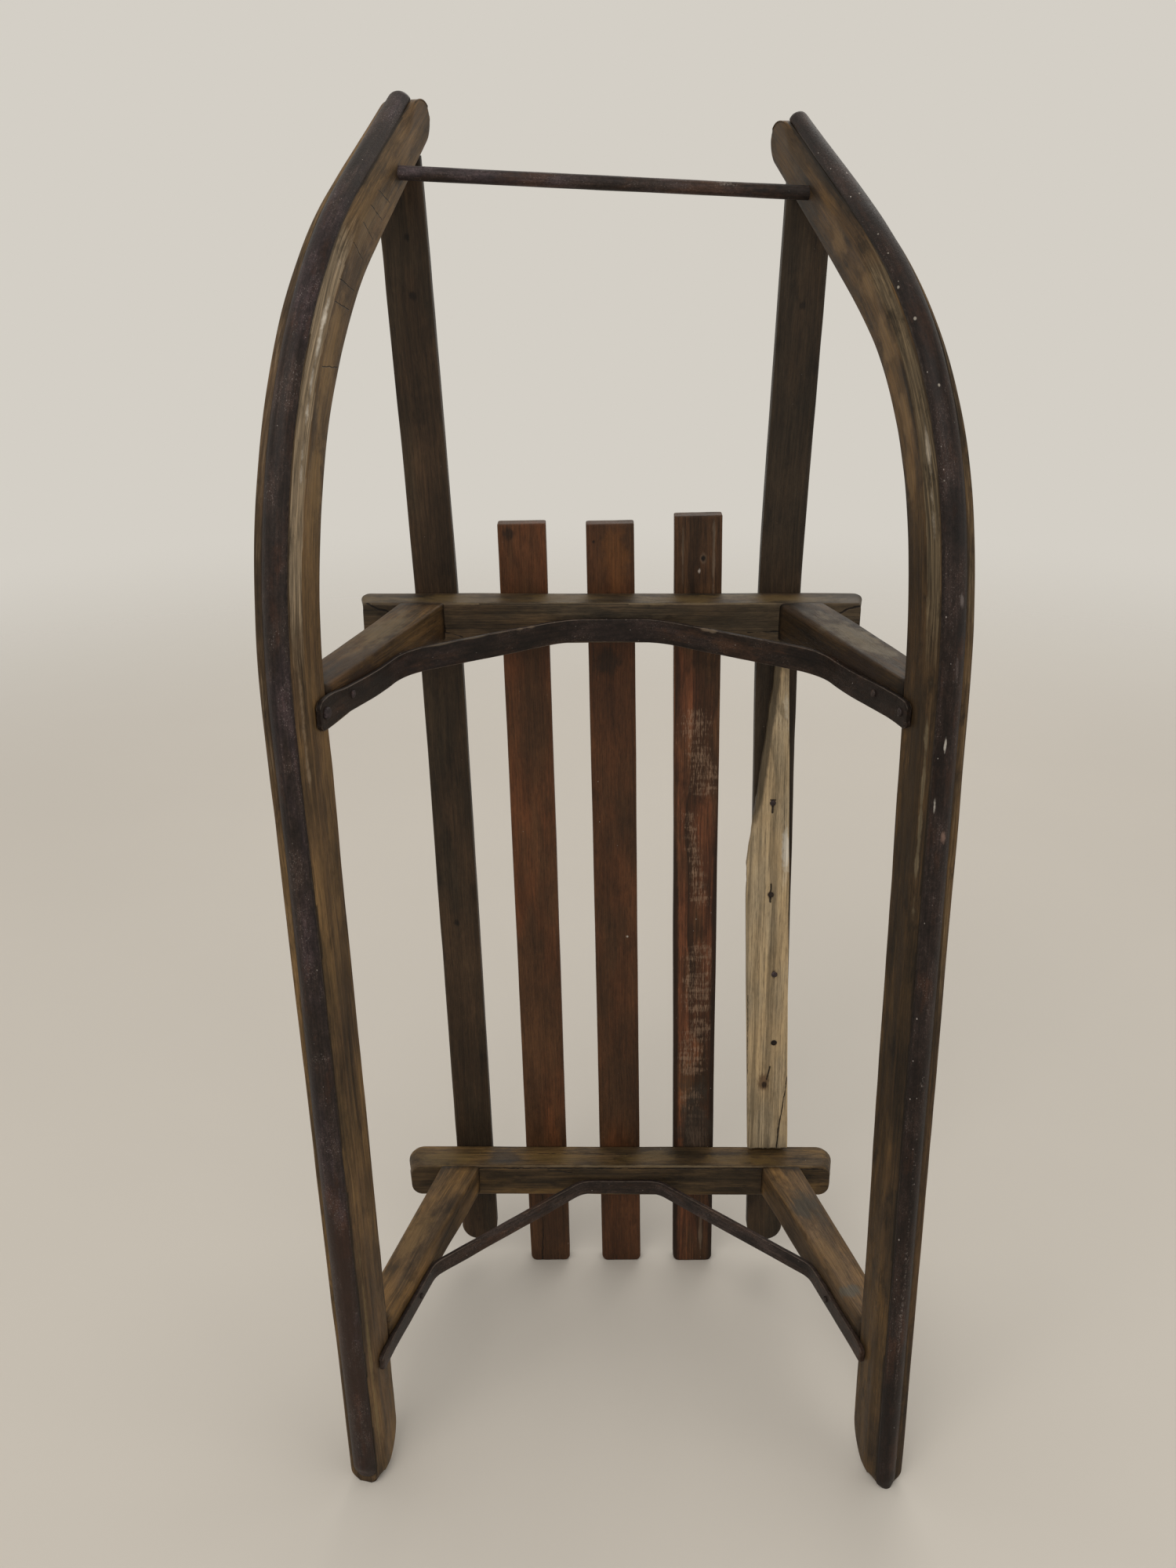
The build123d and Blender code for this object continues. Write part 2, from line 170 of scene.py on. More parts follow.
def loft(name, rows, edge, material, node=None, mirror=False, relief=0.15, seed=1,
         pale=None, dark=None, foot=None, level=None):
    """Skins the stations, closes both ends, and lowers the surface a little, unevenly.

    rows is (stations, points, 6): place in mm, then the grain's own coordinates in mm.
    """
    rows = np.array(rows, float)
    place, grain = rows[..., :3], rows[..., 3:6]
    along = np.gradient(place, axis=0)
    around = np.roll(place, -1, axis=1) - np.roll(place, 1, axis=1)
    normal = np.cross(around, along)
    normal /= np.maximum(np.linalg.norm(normal, axis=2, keepdims=True), 1e-9)
    out = place - place.mean(axis=1, keepdims=True)
    if (normal * out).sum() < 0:
        normal = -normal
    turn = np.cumsum(np.linalg.norm(np.diff(place[len(place) // 2], axis=0,
                                            prepend=place[len(place) // 2][:1]), axis=1))
    s, w = grain[..., 2], np.broadcast_to(turn, grain.shape[:2])
    lower = 0.6 * bumps(w / 14, s / 60, seed) + 0.4 * bumps(w / 3.5, s / 16, seed + 1)
    place = place - normal * (relief * lower)[..., None]
    edge = np.broadcast_to(edge, s.shape) * (0.55 + 0.45 * wave(s, 23, seed + 2))
    stations, points = s.shape
    # pale and dark values: wear and stains, painted shade at joints and grooves, and a painted
    # sheen along the shoes' crest
    pale_and_dark = [f(*np.moveaxis(grain, 2, 0)) if f else s * 0 for f in (pale, dark)]
    verts = [place.reshape(-1, 3)]
    data = [np.concatenate([grain, np.stack([edge, *pale_and_dark], axis=2)], axis=2).reshape(-1, 6)]
    i, j = np.meshgrid(np.arange(stations - 1), np.arange(points), indexing="ij")
    k = (j + 1) % points
    quads = np.stack([i * points + j, i * points + k, (i + 1) * points + k,
                      (i + 1) * points + j], axis=2).reshape(-1, 4)
    faces = [tuple(q) for q in quads.tolist()]
    base = stations * points
    for end, flip in ((0, True), (stations - 1, False)):
        ring = place[end]
        info = data[0].reshape(stations, points, 6)[end]
        centre, middle = ring.mean(axis=0), info.mean(axis=0)
        last = [end * points + n for n in range(points)]
        for f in (0.72, 0.4):
            verts.append(centre + (ring - centre) * f)
            data.append(middle + (info - middle) * f)
            new = [base + n for n in range(points)]
            for n in range(points):
                m = (n + 1) % points
                quad = (last[n], last[m], new[m], new[n])
                faces.append(quad[::-1] if flip else quad)
            last, base = new, base + points
        verts.append(centre[None])
        data.append(middle[None])
        for n in range(points):
            tri = (last[n], last[(n + 1) % points], base)
            faces.append(tri[::-1] if flip else tri)
        base += 1
    verts, data = np.concatenate(verts), np.concatenate(data)
    # faces must look outward
    q = np.array(faces[0])
    first = np.cross(verts[q[1]] - verts[q[0]], verts[q[2]] - verts[q[1]])
    middle = place[:2].mean(axis=(0, 1))
    if np.dot(first, verts[q[0]] - middle) < 0:
        faces = [f[::-1] for f in faces]
    values = {"grain": data[:, :3], "edge": data[:, 3], "pale": data[:, 4], "dark": data[:, 5]}
    make(name, verts, faces, values, material, node, mirror, foot, level)


def rectangle(half_a, half_b, inset=0.0):
    """Corners of a rectangle, one per station, drawn in by inset."""
    a, b = np.broadcast_arrays(half_a - inset, half_b - inset)
    return np.stack([-a, -b, a, -b, a, b, -a, b], axis=1).reshape(-1, 4, 2)


def under_seat(ab, x, s):
    """Corners of a slat or rail whose middle is at x, with the grain along it."""
    along = np.broadcast_to(s[:, None, None], ab[..., :1].shape)
    return np.concatenate([ab[..., :1] + x, ab[..., 1:] + UNDERSIDE + THICK / 2, along, ab,
                           along], axis=2)


def benches(b, s):
    """Where the benches cross the underside of a slat or rail, darkened partly as grime and partly
    as painted shade.
    """
    return 0.55 * np.max([near(s, z, 17) for z in BENCHES.values()], axis=0) * (b < 0)


def worn(s, count, low, high, seed):
    """How far back each corner is rounded, along the piece."""
    return np.stack([low + (high - low) * wave(s, 31 + 7 * k, seed + 11 * k) ** 1.5
                     for k in range(count)], axis=1)


def linear(colour):
    """0-255 values as read off a screen -> the renderer's own."""
    values = [c / 255 for c in colour]
    return (*(v / 12.92 if v <= 0.04045 else ((v + 0.055) / 1.055) ** 2.4 for v in values), 1.0)


def shade(colour, f):
    return tuple(min(255.0, c * f) for c in colour)


class Tree:
    """The nodes of a material or of the world, under short names."""

    def __init__(self, owner):
        self.owner = owner
        owner.use_nodes = True
        self.nodes, self.links = owner.node_tree.nodes, owner.node_tree.links
        self.nodes.clear()

    def node(self, kind, inputs, out=0, **settings):
        """Adds a node, sets or links its inputs, and gives one of its outputs."""
        n = self.nodes.new("ShaderNode" + kind)
        for key, value in settings.items():
            setattr(n, key, value)
        for key, value in inputs.items():
            if hasattr(value, "is_output"):
                self.links.new(value, n.inputs[key])
            else:
                n.inputs[key].default_value = value
        return n.outputs[out] if len(n.outputs) else None

    def math(self, op, a, b=0.5, clamp=False):
        return self.node("Math", {0: a, 1: b}, operation=op, use_clamp=clamp)

    def vec(self, op, a, b=(0.0, 0.0, 0.0), scale=1.0):
        out = "Value" if op in ("LENGTH", "DOT_PRODUCT") else "Vector"
        return self.node("VectorMath", {0: a, 1: b, 3: scale}, out, operation=op)

    def attribute(self, name, out="Fac"):
        return self.node("Attribute", {}, out, attribute_name=name)

    def noise(self, place, scale, detail, rough, out="Fac"):
        return self.node("TexNoise", {"Vector": self.vec("MULTIPLY", place, scale), "Scale": 1.0,
                                      "Detail": detail, "Roughness": rough}, out)

    def step(self, x, low, high, out_low=0.0, out_high=1.0):
        return self.node("MapRange", {"Value": x, "From Min": low, "From Max": high,
                                      "To Min": out_low, "To Max": out_high},
                         interpolation_type="SMOOTHSTEP")

    def shades(self, tone, colour, deep, light):
        """One colour from its shadow to its light."""
        n = self.nodes.new("ShaderNodeValToRGB")
        self.links.new(tone, n.inputs[0])
        elements = n.color_ramp.elements
        stops = ((0.0, deep), (0.3, 0.6 + 0.4 * deep), (0.5, 1.0), (0.7, 0.55 + 0.45 * light),
                 (1.0, light))
        while len(elements) < len(stops):
            elements.new(0.5)
        for e, (at, f) in zip(elements, stops):
            e.position, e.color = at, linear(shade(colour, f))
        return n.outputs[0]

    def mix(self, f, a, b):
        """b over a, as far as f says; a tuple is a colour as read off a screen."""
        a, b = (linear(c) if isinstance(c, tuple) else c for c in (a, b))
        return self.node("Mix", {0: f, 6: a, 7: b}, 2, data_type="RGBA")

    def add(self, *terms):
        """Sum of (factor, socket) pairs, sockets and plain numbers."""
        total = sum(x for x in terms if isinstance(x, (int, float)))
        for x in terms:
            if not isinstance(x, (int, float)):
                f, x = x if isinstance(x, tuple) else (1.0, x)
                total = self.node("Math", {0: x, 1: f, 2: total}, operation="MULTIPLY_ADD")
        return total

    def marks(self, place, rows):
        """The largest of the marks: rows of half width, soft edge and the points of a line."""
        total = 0.0
        shaky = self.vec("ADD", place, self.vec("SCALE", self.vec(
            "SUBTRACT", self.noise(place, (0.35, 0.35, 0.2), 3, 0.6, "Color"), HALF), scale=1.6))
        for wide, soft, *points in rows:
            for p, q in zip(points, points[1:]):
                way = tuple(b - a for a, b in zip(p, q))
                off = self.vec("SUBTRACT", shaky if soft < wide * 3 else place, p)
                f = self.math("MULTIPLY", self.vec("DOT_PRODUCT", off, way),
                              1 / sum(v * v for v in way), clamp=True)
                gap = self.vec("LENGTH", self.vec(
                    "SUBTRACT", off, self.vec("SCALE", way, scale=f)))
                total = self.math("MAXIMUM", self.step(gap, wide, wide + soft, 1.0, 0.0), total)
        return total

    def spots(self, colour, grain, rows, uneven, tinted):
        """Spots over a colour: rows of reach, colour, strength and the places that share them."""
        for reach, tint, strength, *places in rows:
            for place in places:
                off = self.vec("MULTIPLY", self.vec("SUBTRACT", grain, place),
                               tuple(1 / r for r in reach))
                here = self.step(self.add(self.vec("LENGTH", off), *uneven), 0.35, 1.0,
                                 strength, 0.0)
                colour = self.mix(here, colour, tinted(tint))
        return colour

    def flecks(self, place, cells, size, soft):
        """Splashes of paint of uneven size, at most one to a cell."""
        cell = self.nodes.new("ShaderNodeTexVoronoi")
        self.links.new(self.vec("MULTIPLY", place, cells), cell.inputs["Vector"])
        cell.inputs["Scale"].default_value = 1.0
        own = self.vec("DOT_PRODUCT", cell.outputs["Color"], (0.5, 0.3, 0.2))
        radius = self.math("SUBTRACT", self.math("MULTIPLY", own, size), size * 0.55)
        return self.step(self.math("SUBTRACT", cell.outputs["Distance"], radius), 0.0, soft,
                         1.0, 0.0)

    def finish(self, colour, rough, height, metallic, specular):
        normal = self.node("Bump", {"Strength": 0.6, "Distance": 0.0004, "Height": height})
        shader = self.node("BsdfPrincipled", {
            "Base Color": colour, "Roughness": rough, "Metallic": metallic,
            "Specular IOR Level": specular, "Normal": normal})
        self.node("OutputMaterial", {0: shader})
        return self.owner


HALF = (0.5, 0.5, 0.5)


def wood(name, mid, warm, seed, patches, streaks, fibre, stains, flecks=0.0, rough=0.45,
         light=1.5, rings=None, weathered=(140, 128, 108), contrast=1.0, wander=6.0,
         scratches=0.0, spots=(), dark_marks=(), pale_marks=()):
    """Old handled wood. mid is its mean colour, warm the colour of its other patches."""
    t = Tree(bpy.data.materials.new(f"wood_{name}"))
    grain = t.attribute("grain", "Vector")
    shift = np.random.default_rng(seed).uniform(-400, 400, 3)
    place = t.vec("ADD", grain, tuple(shift))
    drift = t.noise(place, (0.03, 0.03, 0.009), 2, 0.5, "Color")
    bent = t.vec("ADD", place, t.vec("MULTIPLY", t.vec("SUBTRACT", drift, HALF),
                                     (wander, wander, 0.0)))
    fibres = t.noise(bent, (1.0, 1.0, 0.016), 5, 0.75)
    band = t.noise(bent, (0.17, 0.17, 0.005), 3, 0.5)
    flake = t.noise(bent, (0.9, 0.9, 0.2), 3, 0.65)
    blot = t.noise(place, (0.045, 0.045, 0.014), 4, 0.62)
    other = t.noise(place, (0.03, 0.03, 0.008), 4, 0.6)
    grime = t.noise(place, (0.11, 0.11, 0.06), 5, 0.66)
    shares = ((2.2 * patches, blot), (2.0 * streaks, band),
              (1.5 * (0.35 + 1.4 * fibre), fibres), (0.4, flake))
    tone = t.add(0.5 - 0.5 * sum(f for f, _ in shares), *shares)
    colour = t.mix(t.step(other, 0.42, 0.6), t.shades(tone, mid, 0.5, light),
                   t.shades(tone, warm, 0.5, light))
    height = t.add((0.4, fibres), (0.5, grime))
    if rings:
        # year rings round a pith line outside the piece
        strength, apart, (a, b) = rings
        off = t.vec("SUBTRACT", bent, (shift[0] + a, shift[1] + b, 0.0))
        radius = t.vec("LENGTH", t.vec("MULTIPLY", off, (1.0, 1.0, 0.0)))
        phase = t.math("FRACT", t.math("MULTIPLY", radius, 1 / apart))
        late = t.math("MULTIPLY", t.step(phase, 0.35, 0.9), t.step(phase, 0.92, 1.0, 1.0, 0.0))
        here = t.step(band, 0.35, 0.6, 0.4 * strength, strength)
        colour = t.mix(t.math("MULTIPLY", late, here), colour, shade(mid, 0.45))
        height = t.add(height, (0.3, late))
    pores = t.step(t.noise(bent, (3.6, 3.6, 0.11), 2, 0.6), 0.58, 0.68)
    colour = t.mix(t.math("MULTIPLY", pores, 0.35), colour, shade(mid, 0.4))
    # worn and weathered places
    streak = t.shades(t.add(0.5 - 0.6 * contrast, (1.2 * contrast, fibres)), weathered,
                      0.3 + 0.25 / contrast, 1.15 * contrast ** 0.5)
    pale = t.add(t.attribute("pale"), (0.9, fibres), (0.35, grime), -0.62)
    if pale_marks:
        # rubbed across the grain, so it comes away in chips
        ripple = t.noise(bent, (0.05, 0.05, 0.3), 2, 0.5)
        chips = t.noise(bent, (1.5, 1.5, 0.22), 3, 0.7)
        pale = t.math("MAXIMUM", pale, t.add((0.66, t.marks(grain, pale_marks)), (2.2, chips),
                                             (1.1, ripple), (0.9, fibres), -2.3))
    pale = t.step(pale, 0.3, 0.75, 0.0, 0.68 if pale_marks else 0.85)
    colour = t.mix(pale, colour, streak)
    # rubbed corners, then stains, grime and painted shade
    rubbed = t.step(t.add(t.attribute("edge"), (0.8, grime), -0.4), 0.35, 0.9, 0.0, 0.35)
    colour = t.mix(rubbed, colour, shade(mid, 1.5))
    soiled = t.step(t.noise(place, (0.075, 0.075, 0.03), 5, 0.7), 0.53, 0.68, 0.0, stains)
    # the dark attribute: grime and stains, and painted shade where parts meet and in grooves
    dirt_and_shade = t.step(t.add(t.attribute("dark"), (0.8, grime), -0.4), 0.3, 0.9, 0.0, 0.85)
    colour = t.mix(t.math("MAXIMUM", dirt_and_shade, soiled), colour, shade(mid, 0.38))
    colour = t.spots(colour, grain, spots, ((2.4, grime), (0.8, fibres), -1.6),
                     lambda c: t.shades(t.add(-0.1, (1.2, fibres)), c, 0.6, 1.4))
    if scratches:
        for turn in (0.95, -0.55):
            turned = t.node("Mapping", {"Vector": place, "Rotation": (turn, turn, 0.0),
                                        "Scale": (0.9, 0.9, 34.0)}, vector_type="TEXTURE")
            hair = t.step(t.noise(turned, (1.0, 1.0, 1.0), 2, 0.6), 0.66, 0.72)
            hair = t.math("MULTIPLY", hair, t.step(blot, 0.48, 0.6, 0.0, scratches))
            colour = t.mix(hair, colour, (84, 72, 58))
    if dark_marks:
        cut = t.marks(grain, dark_marks)
        colour = t.mix(t.math("MULTIPLY", cut, 0.93), colour, (18, 13, 10))
        height = t.add(height, (-2.5, cut))
    if flecks:
        paint = t.flecks(place, (0.16, 0.16, 0.11), flecks, 0.03)
        colour = t.mix(t.math("MULTIPLY", paint, 0.75), colour, (176, 168, 156))
    height = t.add(height, (-0.4, pores))
    roughness = t.add(rough - 0.14, (0.3, grime), (0.25, pale), (0.15, fibres))
    return t.finish(colour, roughness, height, 0.0, 0.2)


def iron(name, mid, cold, rust, seed, flecks, bare, glints, spots=()):
    """Old wrought iron: mid is its mean colour, with patches of a colder one and of rust."""
    t = Tree(bpy.data.materials.new(f"iron_{name}"))
    grain = t.attribute("grain", "Vector")
    place = t.vec("ADD", grain, tuple(np.random.default_rng(seed).uniform(-400, 400, 3)))
    grime = t.noise(place, (0.09, 0.09, 0.035), 5, 0.66)
    skin = t.noise(place, (0.6, 0.6, 0.4), 4, 0.7)
    pits = t.noise(place, (1.7, 1.7, 1.2), 3, 0.6)
    drawn = t.noise(place, (0.9, 0.9, 0.012), 3, 0.6)
    tone = t.add(-1.1, (1.6, grime), (0.9, skin), (0.7, drawn))
    colour = t.mix(t.step(t.noise(place, (0.05, 0.05, 0.012), 4, 0.6), 0.43, 0.6),
                   t.shades(tone, mid, 0.45, 1.7), t.shades(tone, cold, 0.45, 1.7))
    colour = t.mix(t.step(t.noise(place, (0.06, 0.06, 0.02), 5, 0.68), 0.52, 0.66, 0.0, 0.75),
                   colour, t.shades(tone, rust, 0.6, 1.4))
    colour = t.mix(t.step(pits, 0.32, 0.42, 0.55, 0.0), colour, shade(mid, 0.4))
    rub = t.add(t.attribute("edge"), (0.9, skin), (0.5, drawn), -0.75)
    colour = t.mix(t.step(rub, 0.3, 0.8, 0.0, bare), colour, (128, 112, 98))
    # the pale attribute: worn spots and bends, and on the shoes a painted sheen along the crest
    pale = t.add(t.attribute("pale"), (0.8, skin), (1.0, pits), (0.4, grime), -1.1)
    colour = t.mix(t.step(pale, 0.42, 0.75, 0.0, 0.6), colour, (150, 140, 132))
    spark = t.math("MULTIPLY", t.step(pits, 0.6, 0.68), t.step(grime, 0.46, 0.6, 0.0, glints))
    colour = t.mix(spark, colour, (142, 132, 126))
    if flecks:
        paint = t.flecks(place, (0.32, 0.32, 0.2), 2 * flecks, 0.05)
        colour = t.mix(t.math("MULTIPLY", paint, 0.8), colour, (172, 163, 155))
    # the dark attribute: painted shade on the shoes' steep sides
    dirt_and_shade = t.step(t.add(t.attribute("dark"), (0.8, grime), -0.4), 0.3, 0.9, 0.0, 0.8)
    colour = t.mix(dirt_and_shade, colour, shade(mid, 0.35))
    colour = t.spots(colour, grain, spots, ((2.4, grime), (0.9, skin), -1.65), lambda c: c)
    height = t.add((0.8, skin), (0.5, grime), (0.2, drawn), (0.7, pits))
    return t.finish(colour, t.add(0.19, (0.3, skin), (0.25, grime)), height, 0.1, 0.17)


class Sole:
    """The line of one runner's sole, from the tail."""

    def __init__(self, side):
        self.straight, bends, self.horn, tip_width, self.narrows = RUNNERS[side]
        self.bends = [(r, radians(a)) for r, a in bends]
        self.bend_end = self.straight + sum(r * a for r, a in self.bends)
        self.tip = self.bend_end + self.horn
        # the parts of the bend run softly into each other
        fine, n = np.arange(-80.0, self.tip + 90.0, 1.0), 25
        mean = np.ones(2 * n + 1) / (2 * n + 1)
        self.soft = [fine[n:-n]] + [np.convolve(v, mean, "valid") for v in self.parts(fine)]
        y, z, h = self.parts(self.bend_end)
        self.end, self.heading = (float(y), float(z)), float(h)
        self.slope = (2 * WOOD_HALF - tip_width) / (self.narrows + self.horn)
        rail_up = (SEAT_HEIGHT + THICK / 2) / C
        self.crossing = self.bend_end + (
            rail_up - self.end[0] - WOOD_HIGH * cos(self.heading)) / sin(self.heading)

    def line(self, s):
        """Up and Z of the sole at a length s from the tail, and its heading."""
        return tuple(np.interp(s, self.soft[0], v) for v in self.soft[1:])

    def parts(self, s):
        """The same, as straight parts and arcs."""
        s = np.asarray(s, float)
        up, z, turned = s * 0, np.minimum(s, self.straight), s * 0
        start, y0, z0, h = self.straight, 0.0, self.straight, 0.0
        for radius, turn in self.bends:
            a = np.clip((s - start) / radius, 0, turn)
            inside = s > start
            up = np.where(inside, y0 + radius * (cos(h) - np.cos(h + a)), up)
            z = np.where(inside, z0 + radius * (np.sin(h + a) - sin(h)), z)
            turned = np.where(inside, h + a, turned)
            y0, z0 = y0 + radius * (cos(h) - cos(h + turn)), z0 + radius * (sin(h + turn) - sin(h))
            h, start = h + turn, start + radius * turn
        past = s > start
        up = np.where(past, y0 + (s - start) * sin(h), up)
        z = np.where(past, z0 + (s - start) * cos(h), z)
        return up, z, turned

    def place(self, across, up, s):
        """Place in mm of points given across and up the leaning runner, at lengths s."""
        across, up, s = np.broadcast_arrays(across, up, s)
        y, z, turned = self.line(s)
        y, z = y + up * np.cos(turned), z - up * np.sin(turned)
        return np.stack([SOLE[0] + across * C - y * S, SOLE[1] + across * S + y * C, z], axis=-1)

    def outer(self, s):
        """How far the outer face is from the middle of the wood's full width."""
        y, z, turned = self.line(s)
        along = ((y + WOOD_MID * np.cos(turned) - self.end[0]) * sin(self.heading)
                 + (z - WOOD_MID * np.sin(turned) - self.end[1]) * cos(self.heading))
        return WOOD_HALF - self.slope * np.maximum(0, along + self.narrows)


SOLES = {side: Sole(side) for side in RUNNERS}
TIP_ROUND, TIP_UP = 13.9, 18.3  # round end of the horn, and its centre above the sole
TAIL_ROUND = 32.0               # radius of the tail's rounded corner


def worn_end(s, tip):
    """How much the end of the horn is worn away on the sole's side."""
    return 16.5 * (1 - np.sqrt(1 - np.clip((s - tip + 6) / 19.9, 0, 0.99) ** 2))


def runner(side, mirror, material, seed):
    line = SOLES[side]
    tip = line.tip
    tail = TAIL_ROUND * (1 - np.cos(np.linspace(radians(5), pi / 2, 14)))
    middle = np.arange(TAIL_ROUND + 3, tip, 3.0)
    end = tip + (TIP_ROUND - 0.35) * np.sin(np.linspace(0, radians(88), 12))
    s = np.concatenate([tail, middle, end])
    top = WOOD_HIGH + 0.3 - TAIL_ROUND + np.sqrt(
        np.maximum(TAIL_ROUND ** 2 - np.maximum(TAIL_ROUND - s, 0) ** 2, 0))
    top = np.minimum(top, WOOD_HIGH - 4.5 * np.clip((s - line.bend_end) / line.horn, 0, 1.2))
    chord = np.sqrt(np.maximum(TIP_ROUND ** 2 - np.maximum(s - tip, 0) ** 2, 0))
    top = np.where(s > tip, np.minimum(top, TIP_UP + chord), top)
    low = WOOD_LOW + worn_end(s, tip)
    right = line.outer(s) - CLEAR
    bend = step(440, 540, s) * (1 - step(line.bend_end - 40, line.bend_end + 40, s))
    wear_up = 8.0 + 2.2 * wave(s, 60, seed) + 2.5 * bend * wave(s, 25, seed + 3)
    wear_across = 3.0 + 0.8 * wave(s, 45, seed + 1) + 1.0 * bend
    fade = 1 - step(tip - 25, tip + 8, s)
    a = np.stack([-WOOD_HALF + wear_across * fade, right, right,
                  s * 0 - WOOD_HALF, s * 0 - WOOD_HALF], axis=1)
    b = np.stack([low, low, top, top, low + np.maximum(wear_up * fade, 1.5)], axis=1)
    b = np.minimum(b, top[:, None])
    # both ends are worn round
    last = s[-1] - s
    round_off = np.sqrt(1 - 0.8 * (1 - np.clip(s / 8, 0, 1)) ** 2)
    round_off *= np.sqrt(1 - 0.2 * (1 - np.clip(last / 1.5, 0, 1)) ** 2)
    middle = ((right - WOOD_HALF) / 2)[:, None]
    a = middle + (a - middle) * round_off[:, None]
    tall = (top - low)[:, None]
    back = np.array([0.8, 2.2, 3.4, 3.4, 1.8]) * (0.7 + 0.6 * worn(s, 5, 0, 1, seed + 5))
    back = np.minimum(back, tall * np.array([0.1, 0.3, 0.3, 0.3, 0.1]))
    back = np.minimum(back, ((right + WOOD_HALF) * 0.3)[:, None])
    corners = np.concatenate([line.place(a, b, s[:, None]),
                              np.stack([a, b - WOOD_MID, s[:, None] + a * 0], axis=2)], axis=2)
    rows, edge = section(corners, back, (8, 10, 9, 9, 4))

    def pale(a, b, s):
        bevel = (a < -7) & (b < -5.5)
        bend = step(500, 620, s) * (1 - step(line.bend_end - 60, line.bend_end + 10, s))
        strip = ((a > 5.5) & (b < -10)) * step(150, 420, s)
        return bevel * (0.17 + 0.65 * bend) + strip * (0.3 if mirror else 0.42)

    def dark(a, b, s):
        # groove: painted shade where the shoe meets the wood; feet and joint: darker where the legs
        # and the rail meet the runner, partly grime and partly painted shade
        groove = (b < -14.8) * np.maximum(near(a, -8.0, 2.4), near(a, 5.8, 1.6))
        feet = np.maximum(near(s, 95, 22), near(s, 513.6, 22)) * step(6, 15, b)
        joint = near(s, line.crossing, 30) * step(4, 15, b)
        bend = step(430, 540, s) * (1 - step(tip - 50, tip - 15, s))
        stain = near(b, -4.5, 4.5) * (a < -9) * bend * wave(s, 17, seed + 9)
        outer = step(7.5, 9.5, a) * (0.45 if mirror else 0.1)
        return np.max([groove, feet * 0.7, joint * 0.8, (0.5 if mirror else 1.1) * stain,
                       outer + b * 0], axis=0)
    loft(f"runner_wood_{side}", rows, edge, material, f"runner_{side}",
         mirror, relief=0.35, seed=seed, pale=pale, dark=dark, foot=SOLE[0])


def shoe(side, mirror, material, seed, begin):
    """Half round, and cut off on its outer side where the horn is narrowed."""
    line = SOLES[side]
    tip = line.tip
    s = np.concatenate([np.linspace(begin, begin + 20, 10), np.arange(begin + 23, tip - 3, 3.0),
                        np.linspace(tip - 2, tip + 2.7, 9)])
    reach = np.arcsin(SHOE_HALF / SHOE_ROUND)
    angle = np.linspace(-reach, reach, 19)
    flat = np.linspace(1.0, -1.0, 9)[1:-1]
    a = np.concatenate([np.sin(angle) / np.sin(reach), flat])
    under = np.concatenate([angle * 0 + 1, flat * 0])
    # a strip of wood shows outside the iron
    narrow = SHOE_HALF - (1.9 * step(250, 450, s) if mirror else 2.3)
    right = np.minimum(narrow, line.outer(s) - 0.6)[:, None]
    left = (-SHOE_HALF + 0.3 * wave(s, 28, seed) + 0.2 * wave(s, 9, seed + 1))[:, None]
    aa = left + (right - left) * (a[None] + 1) / 2
    depth = (np.sqrt(SHOE_ROUND ** 2 - (SHOE_HALF * a[None]) ** 2)
             - (SHOE_ROUND - SHOE_HIGH))
    nose = np.clip((s - tip + 2.3) / 5.0, 0, 1)[:, None]
    aa = (left + right) / 2 + (aa - (left + right) / 2) * (1 - 0.35 * nose ** 2)
    flatten = 1 - 0.10 * wave(s, 40, seed + 2)[:, None]
    heel = 1 - (0.6 if begin else 0.3) * (1 - step(begin, begin + 10, s))[:, None]
    bb = SHOE_HIGH - under[None] * depth * flatten * heel * (1 - 0.5 * nose ** 2)
    bb = bb + (1 - under[None]) * worn_end(s, tip)[:, None]
    ends = 1 - 0.35 * (1 - np.clip((s - begin) / 6, 0, 1))[:, None] ** 2
    aa = aa * ends
    ss = s[:, None] + aa * 0
    grain = np.stack([a[None] * SHOE_HALF + ss * 0, bb, ss], axis=2)
    rows = np.concatenate([line.place(aa, bb, ss), grain], axis=2)
    edge = np.concatenate([
        np.abs(angle / reach) ** 6 * 0.9 + 0.25 * (np.abs(angle) < 0.25), flat * 0])

    def pale(a, b, s):
        worn_spots = 0.55 * near(s, 300, 120) * bumps(s / 14, a / 4, seed + 7) ** 3
        # crest: painted speckled sheen along the top of the shoe; worn_spots are real wear
        crest = near(a, -1.0, 3.4) * step(30, 90, s) * (1 - step(250, 340, s))
        return np.maximum(worn_spots, (0.15 if mirror else 0.42) * crest)

    def dark(a, b, s):
        # painted shade on the shoe's steep sides
        return 0.6 * step(0.72, 1.0, np.abs(a) / SHOE_HALF)
    loft(f"shoe_iron_{side}", rows, edge, material, f"shoe_{side}", mirror,
         relief=0.28, seed=seed + 5, pale=pale, dark=dark, foot=SOLE[0])


